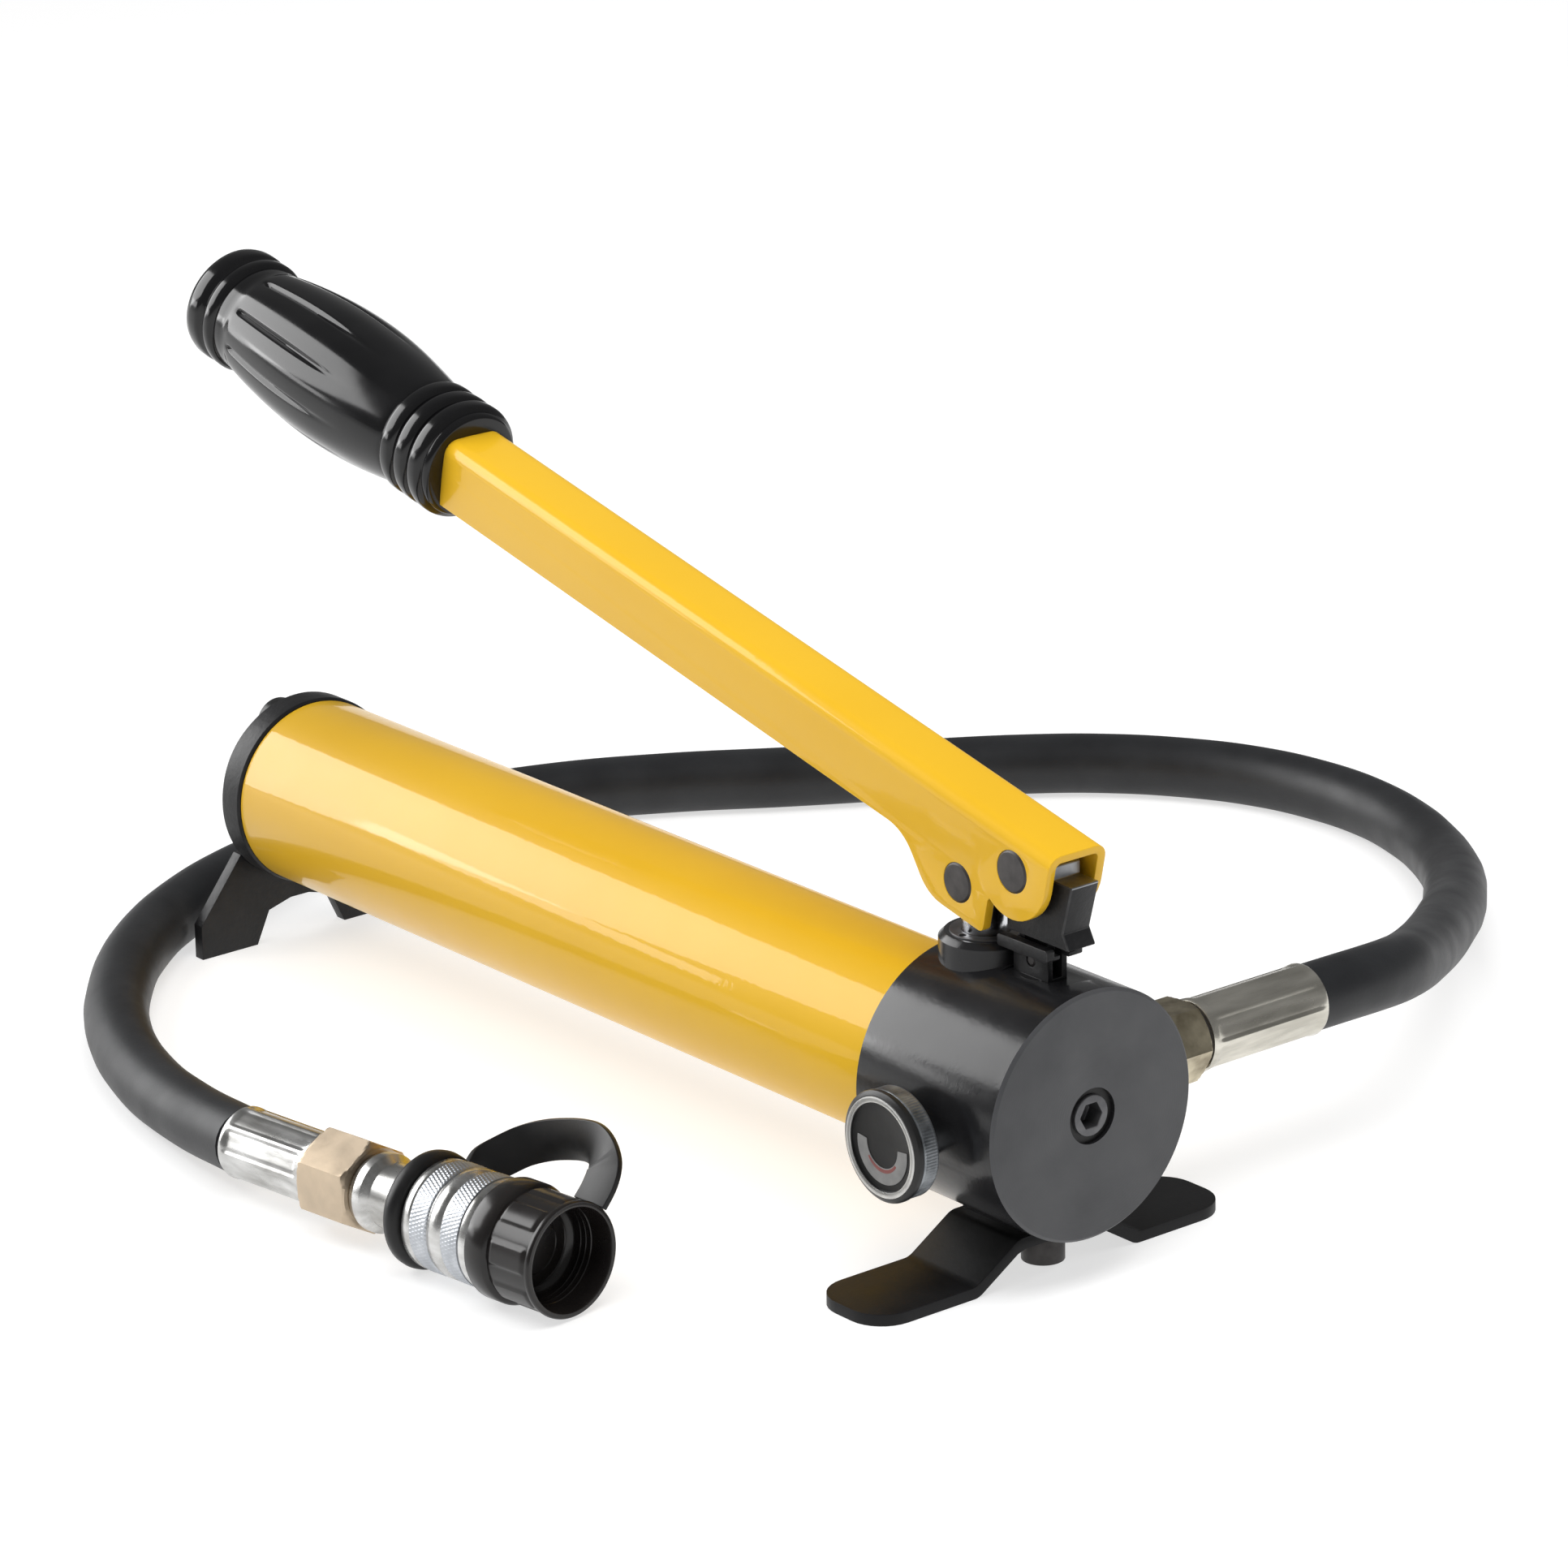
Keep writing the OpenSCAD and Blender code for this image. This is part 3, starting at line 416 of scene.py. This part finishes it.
port = Vector((0, middle("pump_ferrule").y, middle("pump_ferrule").z))
portPlace = Matrix.Translation(port) @ towardRight
ferrule("pumpFerrule", ferruleSettings["pump"], portPlace, "zincPlateAcross", "pump_ferrule", ferruleSettings)
ferrule("couplerFerrule", ferruleSettings["coupler"], couplerPlace, "zincPlate", "coupler_ferrule",
        ferruleSettings)


nutSettings = {"coupler": {"start": 69.4, "end": 86.9, "across": 21, "corner": 12.12},
               "outlet": {"start": 38.8, "end": 53.6, "across": 19, "corner": 10.97},
               "bore": 3, "rings": 36, "chamfer": -0.3}


def hexNut(nut, s):
    # a turned blank whose skin is cut to six flats, with the corners chamfered at both ends
    start, end, corner, limit = nut["start"], nut["end"], nut["corner"], nut["across"] / 2
    outline = [(s["bore"], start), (corner * 0.8, start)]
    outline += [(corner, y) for y in span(start + 0.05, end - 0.05, s["rings"])]
    outline += [(corner * 0.8, end), (s["bore"], end)]

    def cut(angle, y, r):
        if r < limit - 0.05:
            return r
        flat = limit / math.cos(math.radians((angle + 30) % 60 - 30))
        fromEnd = min(y - start, end - y)
        return min(r, flat, limit + s["chamfer"] + max(0, fromEnd) * 1.6)

    return reshape(lathe(outline, 144), cut)


settle(hexNut(nutSettings["coupler"], nutSettings), "couplerNut", "root", ["warmNickel"],
       ["coupler_nut"], couplerPlace @ Matrix.Rotation(math.radians(30), 4, "Y"), smooth=28)
settle(hexNut(nutSettings["outlet"], nutSettings), "outletNut", "root", ["tarnished"],
       ["outlet_nut"], portPlace, smooth=28)
settle(lathe([(3, 53.6), (8, 53.6), (8, 55.1), (3, 55.1)], 64, closed=True), "outletCollar", "root",
       ["darkSteel"], place=portPlace)
adapter = lathe([(3, 19.3), (7.9, 19.3), (7.9, 31), (9.5, 31), (9.5, 34), (7.2, 35), (7.2, 38.8), (3, 38.8)],
                96, closed=True)
settle(roundEdges(adapter, 0.4), "outletAdapter", "root", ["tarnished"], ["outlet_adapter"],
       portPlace)
print("fittings made")


# Coupler
collarSettings = {"radius": 13.9, "bore": 10.65, "start": 22.4, "end": 45.8, "teeth": 84, "pitch": 1.05,
                  "depth": 0.32, "bands": ((25.6, 31.6), (36.6, 42.6))}


def makeCollar(s):
    r = s["radius"]
    outline = [(s["bore"], s["start"]), (r - 0.9, s["start"]), (r - 0.2, s["start"] + 0.7),
               (r - 0.15, s["bands"][0][0] - 0.5), (r - 0.45, s["bands"][0][0] - 0.35)]
    for i, (low, high) in enumerate(s["bands"]):
        outline += ([(r - 0.45, low - 0.05)] + [(r, y) for y in span(low, high, 28)]
                    + [(r - 0.45, high + 0.05)])
        if i == 0:
            between = (high + s["bands"][1][0]) / 2
            outline += [(r - 0.5, high + 0.5), (r - 0.1, high + 0.9), (r - 0.05, between),
                        (r - 0.1, s["bands"][1][0] - 0.9), (r - 0.5, s["bands"][1][0] - 0.5)]
    outline += [(r - 0.45, s["bands"][1][1] + 0.4), (r - 0.12, s["bands"][1][1] + 0.6),
                (r - 0.2, s["end"] - 0.7), (r - 0.9, s["end"]), (s["bore"], s["end"])]
    bm = lathe(outline, 336, closed=True)

    def knurl(angle, y, radius):
        for low, high in s["bands"]:
            if low <= y <= high and radius > s["radius"] - 0.02:
                turn, along = math.radians(angle * s["teeth"]), math.tau * y / s["pitch"] / 2
                diamond = (math.cos(turn + along) + math.cos(turn - along)) / 2
                edge = smoothStep(min(y - low, high - y), 0, 0.35)
                return radius - s["depth"] * (1 - (0.5 + 0.5 * diamond) * edge)
        return radius

    reshape(bm, knurl)
    for face in bm.faces:  # the knurled bands are duller than the turned ones
        y = face.calc_center_median().y / mm
        if any(low - 0.05 <= y <= high + 0.05 for low, high in s["bands"]):
            face.material_index = 1
    settle(bm, "couplerCollar", "collar", ["zincPlate", "knurledZinc"], ["coupler_collar"],
           couplerPlace, smooth=60)


makeCollar(collarSettings)

bodyOutline = [(7.2, 23), (10.6, 23), (10.6, 45.8), (8.3, 45.8), (8.3, 63), (10, 64.6), (10, 67.2),
               (9.5, 67.8), (9.3, 68.6), (9, 69.4), (3, 69.4), (3, 51), (5, 51), (5, 36), (7.2, 36)]
settle(roundEdges(lathe(bodyOutline, 112, closed=True), 0.25), "couplerBody", "root", ["zincPlate"],
       ["coupler_body"], couplerPlace)
ringOutline = [(8.35, 46.8), (12, 46.8), (13.9, 47.1), (14.6, 47.9), (14.8, 49.2), (14.6, 50.5), (13.9, 51.4),
               (12, 51.7), (8.35, 51.7)]
settle(roundEdges(lathe(ringOutline, 96, closed=True), 0.3, above=50), "strapRing", "root", ["softBlack"],
       ["strap_ring"], couplerPlace, smooth=60)

capSettings = {"radius": 14.5, "flange": 15.1, "ribs": 8, "ribTurn": 12, "ribHalf": 12, "ribHeight": 0.5,
               "ribFrom": 2.6, "ribTo": 14.2}


def makeDustCap(s):
    r, rear = s["radius"], s["flange"]
    body = r - 0.7
    outline = [(0, 13), (6.6, 13), (6.8, 12.8), (7, 13), (9.6, 13), (9.8, 12.8), (10, 12.95), (11.3, 12.6),
               (12, 11.6), (12.2, 10.2), (12.05, 10), (12.25, 9.8), (12.35, 8.6), (12.2, 8.4), (12.4, 8.2),
               (12.5, 7), (12.35, 6.8), (12.55, 6.6), (12.8, 0.7), (13.1, 0.1), (13.4, 0), (r - 0.3, 0.1),
               (r - 0.05, 0.4), (r, 0.9), (r - 0.1, 1.5), (body, 1.9)]
    outline += [(body, y) for y in span(2.2, 14.6, 24)]
    outline += [(body - 0.05, 15), (rear - 0.4, 15.4), (rear, 16), (rear, 21.2), (rear - 0.3, 21.8),
                (rear - 1, 22), (11, 22), (11, 18), (6.8, 18), (6.8, 33), (6, 34), (0, 34)]
    bm = lathe(outline, 192)
    sector = 360 / s["ribs"]

    def rib(angle, y, radius):
        if abs(radius - body) > 0.02:
            return radius
        off = abs((angle - s["ribTurn"] + sector / 2) % sector - sector / 2)
        onRib = 1 - smoothStep(off, s["ribHalf"] - 1.2, s["ribHalf"] + 1.2)
        inZone = smoothStep(y, s["ribFrom"] - 0.4, s["ribFrom"] + 0.4) * (1 - smoothStep(y, s["ribTo"] - 0.4,
                                                                                       s["ribTo"] + 0.4))
        return radius + s["ribHeight"] * onRib * inZone

    reshape(bm, rib)
    settle(bm, "dustCap", "dust_cap", ["capMoulding"], ["dust_cap"], couplerPlace, smooth=42)


makeDustCap(capSettings)

strapSettings = {"half": (5.1, 0.8), "between": 5}
strapRoute = [(14.2, 49.2, 4.4), (18, 48.9, 6.2), (21.9, 46.6, 8.2), (25.2, 42.4, 10.8), (26.9, 36, 13.3),
              (26.6, 28, 15.7), (24.6, 20.2, 17.9), (21.9, 13.6, 19.2), (19.4, 9, 18.3), (17.6, 6.8, 15.9),
              (15, 6, 12.7), (11.8, 6, 9.3)]
strapWidth = [(-0.3, 0, 1), (0, 0.3, 1), (0, 0.5, 0.9), (0, 0.5, 0.9), (0, 0.45, 1), (0.05, 0.3, 1),
              (0.1, 0.05, 1), (0.2, -0.25, 0.9), (0.3, -0.55, 0.75), (0.3, -0.75, 0.5),
              (0.2, -0.9, 0.25), (0.1, -1, 0.1)]


def makeStrap(s):
    line = curveThrough(strapRoute, s["between"])
    widths = curveThrough(strapWidth, s["between"])
    bm = bmesh.new()
    ring = [bm.verts.new((0, 0, 0)) for _ in range(4)]
    front = bm.faces.new(ring)
    for i, place in enumerate(line):
        ahead = (line[min(i + 1, len(line) - 1)] - line[max(i - 1, 0)]).normalized()
        up = ahead.cross(widths[i]).normalized()
        side = up.cross(ahead)
        if i:
            grown = bmesh.ops.extrude_face_region(bm, geom=[front])["geom"]
            kept = front
            front = next(g for g in grown if isinstance(g, bmesh.types.BMFace))
            if i > 1:
                bmesh.ops.delete(bm, geom=[kept], context="FACES_ONLY")
        for v, (a, b) in zip(front.verts, ((1, 1), (-1, 1), (-1, -1), (1, -1))):
            v.co = (place + side * a * s["half"][0] + up * b * s["half"][1]) * mm
    bmesh.ops.remove_doubles(bm, verts=bm.verts, dist=1e-7)
    bmesh.ops.recalc_face_normals(bm, faces=bm.faces)
    roundEdges(bm, 0.45, above=60, only=lambda e: True)
    strap = settle(bm, "capStrap", None, ["softBlack"], ["cap_strap"], couplerPlace, 50,
                   ride=False)
    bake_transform(strap)


makeStrap(strapSettings)
print("coupler made")


# Grip: turned body, nine long slits that fade toward the lever
gripSettings = {"slits": 9, "slitTurn": -17, "slitDepth": 1.15, "slitWidth": 2.3, "slitStart": 88,
                "slitFade": 34, "lobe": 0.35, "bulge": 18.2, "neck": 14.7, "rib": 15.8, "endRib": 15.9}


def makeGrip(s):
    def rib(y, r, half=2.2, dip=1.5):
        return [(r - dip, y - half - 0.6), (r - 0.35, y - half), (r, y - half * 0.45), (r, y + half * 0.45),
                (r - 0.35, y + half), (r - dip, y + half + 0.6)]

    outline = [(0, 6), (7, 6), (7, 0.6), (13.2, 0), (13.9, 0.4), (14.3, 1.4)]
    for y in (5, 11, 17):
        outline += rib(y, s["rib"])
    for y in span(20.6, 90.4, 78):
        t = (y - 20.6) / 69.8
        swell = (s["bulge"] - s["neck"]) * max(0, math.sin(math.pi * t)) ** 0.85
        outline.append((s["neck"] + swell + 0.35 * t, y))
    outline += [(s["neck"] + 0.15, 91.4), (s["neck"] + 0.05, 93), (s["neck"] + 0.1, 94.6)]
    outline += rib(98, s["endRib"] - 0.1, 1.7, 1.2) + rib(104.2, s["endRib"], 2.6, 1.3)
    outline += [(13.6, 108.4), (11.6, 109.8), (9, 110.6), (5, 110.9), (0, 111)]
    bm = lathe(outline, 324)
    sector = 360 / s["slits"]

    def slit(angle, y, r):
        if not 21 < y < 91.2 or r < 12:
            return r
        off = abs((angle - s["slitTurn"] + sector / 2) % sector - sector / 2)
        here = smoothStep(y, s["slitFade"], s["slitFade"] + 34) * (1 - smoothStep(y, s["slitStart"] - 1.2,
                                                                               s["slitStart"] + 0.8))
        lobes = smoothStep(y, 22, 50) * (1 - smoothStep(y, 88.5, 91))
        return (r - s["slitDepth"] * here * math.exp(-(off / s["slitWidth"]) ** 2)
                - s["lobe"] * lobes * (0.5 + 0.5 * math.cos(math.pi * off / (sector / 2))) + 0.25 * lobes)

    reshape(bm, slit)
    place = leverPlace @ Matrix.Translation(point(0, leverSettings["gripStart"], leverSettings["gripAxis"]))
    settle(bm, "mouldedGrip", "lever", ["gripMoulding"], ["grip"], place, smooth=60)


makeGrip(gripSettings)
print("grip made")


# Pump body, from copies of the CAD nodes
head = cadCopy("pump_head", 0.5, above=35)
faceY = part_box("pump_head")[0].y
for face in head.faces:
    if face.normal.y < -0.5 and face.calc_center_median().y < faceY + 1.2 * mm:
        face.material_index = 1
settle(head, "headCasting", "root", ["blackEnamel", "turnedFace"], ["pump_head"], smooth=32)

tubeLow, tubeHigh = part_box("reservoir_tube")
tubeMiddle = (tubeLow + tubeHigh) / 2
tubeHalf, tubeOuter = (tubeHigh.y - tubeLow.y) / 2 / mm, (tubeHigh.z - tubeLow.z) / 2 / mm
tubeOutline = [(tubeOuter - 2.85, -tubeHalf), (tubeOuter, -tubeHalf), (tubeOuter, tubeHalf),
               (tubeOuter - 2.85, tubeHalf)]
settle(roundEdges(lathe(tubeOutline, 160, closed=True), 0.35), "oilTube", "root", ["yellowEnamel"],
       ["reservoir_tube"], Matrix.Translation(tubeMiddle))

settle(cadCopy("rear_cap", 0.9, above=35), "rearCasting", "root", ["castBlack"], ["rear_cap"],
       smooth=35)


def isBend(edge):
    run = edge.verts[1].co - edge.verts[0].co
    lengthwise = abs(run.y) > 0.9 * run.length and run.length > 15 * mm
    return lengthwise and edge.calc_face_angle(0) < math.radians(50)


foot = cadCopy("front_foot", 1.3, above=15, segments=4, only=isBend)
roundEdges(foot, 0.55, above=45)
settle(foot, "bentFoot", "root", ["sheetBlack"], ["front_foot"], smooth=30)

softened = [  # CAD node, piece name, body, finishes, slot, edge width
    ("lever", "leverChannel", "lever", ["yellowEnamel"], "yellow_paint", 0.45),
    ("link_lug", "lug", "root", ["castBlack", "edgeHighlightPaint"], "black_paint", 0.45),
    ("gland_nut", "glandNut", "root", ["plugSteel"], "plug_steel", 0.3),
    ("foot_bolt", "footScrew", "root", ["darkSteel"], "black_bolt", 0.45),
    ("front_plug", "socketPlug", "root", ["plugSteel"], "plug_steel", 0.25),
    ("tie_nut", "tieNut", "root", ["zincPlateAcross"], "zinc", 0.35),
    ("tie_washer", "tieWasher", "root", ["zincPlateAcross"], "zinc", 0.25),
    ("filler_plug", "fillerPlug", "root", ["knobMoulding"], "black_plastic", 0.4),
    ("plunger", "plungerRod", "plunger", ["groundSteel"], "polished_steel", 0.3),
]


def paintEdgeHighlights(bm, index):
    # the narrow rounded faces between the flat ones take a lighter finish: a painted highlight along the
    # edges
    for face in bm.faces:
        if max(abs(n) for n in face.normal) < 0.985 and face.calc_area() < 12 * mm * mm:
            face.material_index = index
    return bm


for node, name, body, looksUsed, slotName, width in softened:
    copied = cadCopy(node, width)
    # pieces with a second finish get a painted highlight on their rounded edges
    if len(looksUsed) > 1:
        paintEdgeHighlights(copied, 1)
    settle(copied, name, body, looksUsed, [node], smooth=33)

linkPiece = cadCopy("link", 0.4)
bareAbove = middle("lever_pin_front").z - 1.5 * mm
bmesh.ops.bisect_plane(linkPiece, geom=linkPiece.verts[:] + linkPiece.edges[:] + linkPiece.faces[:],
                       dist=1e-7, plane_co=(0, 0, bareAbove), plane_no=(0, 0, 1))
# the link's rounded edges get the lighter painted edge highlight
paintEdgeHighlights(linkPiece, 2)
for face in linkPiece.faces:
    if face.calc_center_median().z > bareAbove and abs(face.normal.x) < 0.7:
        face.material_index = 1
settle(linkPiece, "linkCasting", "link", ["castBlack", "bareSteel", "edgeHighlightPaint"], ["link"],
       smooth=33)
print("body pieces made")


# Pins with domed ends
def pinPiece(name, node, body, radius, half, place, shank=None):
    shank = shank or radius
    outline = [(0, half), (radius * 0.6, half - 0.02), (radius - 0.55, half - 0.12), (radius, half - 0.6)]
    outline += [(radius, 6.5), (shank, 6.5)] if shank < radius else []
    outline += [(r, -y) for r, y in reversed(outline)]
    settle(lathe(outline, 64), name, body, ["darkSteel"], [node], place @ towardRight, smooth=30)


pinHalf = 9.4
pinPiece("frontPin", "lever_pin_front", "lever", 5.3, pinHalf, Matrix.Translation(middle("lever_pin_front")),
         4.3)
pinPiece("rearPin", "lever_pin_rear", "lever", 5, pinHalf, Matrix.Translation(middle("lever_pin_rear")))
pinPiece("lugPin", "lug_pin", "root", 1.7, 3, Matrix.Translation(middle("lug_pin")))


# Release knob: its axis runs out to the left
knobSettings = {"radius": 13.9, "face": 44, "badge": 12.5, "teeth": 108, "toothDepth": 0.18, "arcInner": 5.3,
                "arcOuter": 9.4, "arcHeight": 0.25, "arcSweep": 192}
knobPlace = Matrix.Translation((0, middle("knob_ring").y, middle("knob_ring").z)) @ towardLeft


def makeKnob(s):
    f, r, badge = s["face"], s["radius"], s["badge"]
    outline = [(0, f - 1.0), (badge - 2.1, f - 1.0), (badge - 1.6, f - 0.9), (badge - 1.5, f - 0.3),
               (badge + 0.1, f - 0.3), (badge + 0.3, f - 0.4), (r - 0.5, f - 0.6), (r - 0.1, f - 0.9),
               (r, f - 1.3), (r, f - 2), (r - 0.2, f - 2.3), (r - 0.6, f - 2.4), (0, f - 2.4)]
    settle(lathe(outline, 128), "releaseKnob", "release", ["knobMoulding"], ["release_knob"],
           knobPlace, smooth=30)
    trim = [(badge - 1.48, f - 0.3), (badge - 1.4, f - 0.08), (badge - 1.15, f), (badge - 0.3, f),
            (badge - 0.05, f - 0.08), (badge, f - 0.3)]
    settle(lathe(trim, 128, closed=True), "knobTrim", "release", ["brightTrim"],
           ["knob_badge"], knobPlace, smooth=50)
    tip = r - 0.25
    ring = [(6, f - 2.4), (tip - 0.7, f - 2.4), (tip - 0.2, f - 2.6)]
    ring += [(tip, y) for y in span(f - 2.9, f - 6.7, 10)]
    ring += [(tip - 0.2, f - 7), (tip - 0.8, f - 7.3), (6, f - 7.3)]
    bm = lathe(ring, 440, closed=True)
    reshape(bm, lambda angle, y, radius: radius if radius < tip - 0.05 else
            radius - s["toothDepth"] * (0.5 + 0.5 * math.cos(math.radians(angle * s["teeth"])))
            * smoothStep(min(f - 2.9 - y, y - f + 6.7), -0.1, 0.5))
    settle(bm, "knurledRing", "release", ["greyRing"], ["knob_ring"], knobPlace, smooth=60)
    stem = [(0, f - 2.4), (5.95, f - 2.4), (5.95, 21), (2.2, 19.5), (2.2, 16), (0.6, 14.2), (0, 14.2)]
    settle(roundEdges(lathe(stem, 64), 0.2), "releaseStem", "release", ["bareSteel"],
           ["release_stem"], knobPlace)


def makeArc(s, name, inner, outer, taper, lift, finishName):
    # a flat crescent on the knob's face, thickest at the bottom
    bm = bmesh.new()
    a, b = bm.verts.new((0, 0, -inner * mm)), bm.verts.new((0, 0, -outer * mm))
    half = math.radians(s["arcSweep"] / 2)
    start = Matrix.Rotation(-half, 4, "Y")
    edge = bm.edges.new((a, b))
    bmesh.ops.transform(bm, matrix=start, verts=[a, b])
    bmesh.ops.spin(bm, geom=[a, b, edge], cent=(0, 0, 0), axis=(0, 1, 0), dvec=(0, 0, 0), angle=2 * half,
                   steps=48, use_merge=False, use_normal_flip=False, use_duplicate=False)
    mid = (inner + outer) / 2
    for v in bm.verts:
        r, angle = math.hypot(v.co.x, v.co.z), math.atan2(v.co.x, -v.co.z)
        share = 1 - taper * (abs(angle) / half) ** 2
        new = (mid + (r / mm - mid) * share) * mm
        v.co.x, v.co.z = v.co.x * new / r, v.co.z * new / r
    grown = bmesh.ops.extrude_face_region(bm, geom=list(bm.faces))["geom"]
    bmesh.ops.translate(bm, verts=[g for g in grown if isinstance(g, bmesh.types.BMVert)],
                        vec=(0, s["arcHeight"] * mm, 0))
    bmesh.ops.recalc_face_normals(bm, faces=bm.faces)
    roundEdges(bm, 0.12, above=60, segments=2)
    place = knobPlace @ Matrix.Translation(point(0, s["face"] - 1.02 + lift, 0))
    settle(bm, name, "release", [finishName], place=place)


makeKnob(knobSettings)
makeArc(knobSettings, "knobArc", knobSettings["arcInner"], knobSettings["arcOuter"], 0.18, 0, "arcGrey")
makeArc({**knobSettings, "arcSweep": 110}, "knobArcLine", 5.5, 6.5, 0.3, 0.06, "arcRed")
print("knob and pins made")

# CAD nodes that stay as they are
kept = {
    "head_gasket": "softBlack", "cap_gasket": "softBlack", "front_plug_seal": "softBlack",
    "gland_seal": "softBlack", "tie_rod": "bareSteel", "suction_tube": "zincPlate",
    "oil_strainer": "brassTone", "inlet_seat": "brassTone",
    "inlet_ball": "groundSteel", "outlet_ball": "groundSteel", "relief_ball": "groundSteel",
    "outlet_spring": "bareSteel", "relief_spring": "bareSteel", "poppet_spring": "bareSteel",
    "relief_screw": "darkSteel", "coupler_poppet": "groundSteel",
}
for node, look in kept.items():
    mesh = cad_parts[node].data
    mesh.materials.clear()
    mesh.materials.append(finishes[look])


# Studio
studioSettings = {"floor": 6.0, "floorColour": (0.45, 0.45, 0.45), "floorGlow": 0.65, "world": (1, 1, 1),
                  "worldStrength": 0.22,
                  "boxes": (  # name, azimuth, elevation, roll, distance, size, power, aim, what it lights
                      ("keyBox", -110, 50, 0, 1.5, (1.5, 0.42), 10, (0, 0.05, 0.05), "colour"),
                      ("topBox", -15, 68, 0, 1.6, (1.4, 0.9), 18, (0, 0.05, 0.05), "colour"),
                      ("backBox", 132, 37, 0, 1.8, (0.9, 0.6), 5, (0, 0.1, 0.1), "colour"),
                      ("fillBox", 62, 28, 0, 1.9, (0.9, 0.7), 5, (0, 0, 0.05), "colour"),
                      ("streakBox", -148.5, 26, 35.6, 1.8, (1.7, 1.2), 36, (0, -0.02, 0.06), "shine"),
                      ("lowBox", -137, 6, 0, 1.6, (0.7, 0.2), 2.2, (0, 0.1, 0.1), "shine"))}


def floorPaper(s):
    made = bpy.data.materials.new("floorPaper")
    made.use_nodes = True
    shader = made.node_tree.nodes["Principled BSDF"]
    shader.inputs["Base Color"].default_value = (*s["floorColour"], 1)
    shader.inputs["Roughness"].default_value = 0.9
    shader.inputs["Emission Color"].default_value = (1, 1, 1, 1)
    shader.inputs["Emission Strength"].default_value = s["floorGlow"]
    return made


def softBox(name, azimuth, elevation, roll, distance, size, power, target, lights):
    light = bpy.data.lights.new(name, "AREA")
    light.shape, light.size, light.size_y, light.energy = "RECTANGLE", *size, power
    a, e = math.radians(azimuth), math.radians(elevation)
    back = Vector((math.sin(a) * math.cos(e), -math.cos(a) * math.cos(e), math.sin(e)))
    lamp = bpy.data.objects.new(name, light)
    lamp.location = Vector(target) + back * distance
    turned = back.to_track_quat("Z", "Y").to_matrix() @ Matrix.Rotation(math.radians(roll), 3, "Z")
    lamp.rotation_euler = turned.to_euler()
    lamp.visible_diffuse, lamp.visible_glossy = lights == "colour", lights == "shine"
    scene.collection.objects.link(lamp)


def setStudio(s):
    bm = bmesh.new()
    bmesh.ops.create_grid(bm, x_segments=1, y_segments=1, size=s["floor"])
    mesh = bpy.data.meshes.new("studioFloor")
    bm.to_mesh(mesh)
    bm.free()
    mesh.materials.append(floorPaper(s))
    floor = bpy.data.objects.new("studioFloor", mesh)
    scene.collection.objects.link(floor)
    world = bpy.data.worlds.new("studio")
    world.use_nodes = True
    background = world.node_tree.nodes["Background"]
    background.inputs["Color"].default_value = (*s["world"], 1)
    background.inputs["Strength"].default_value = s["worldStrength"]
    scene.world = world
    for box in s["boxes"]:
        softBox(*box)
    scene.view_settings.view_transform = "Standard"


setStudio(studioSettings)
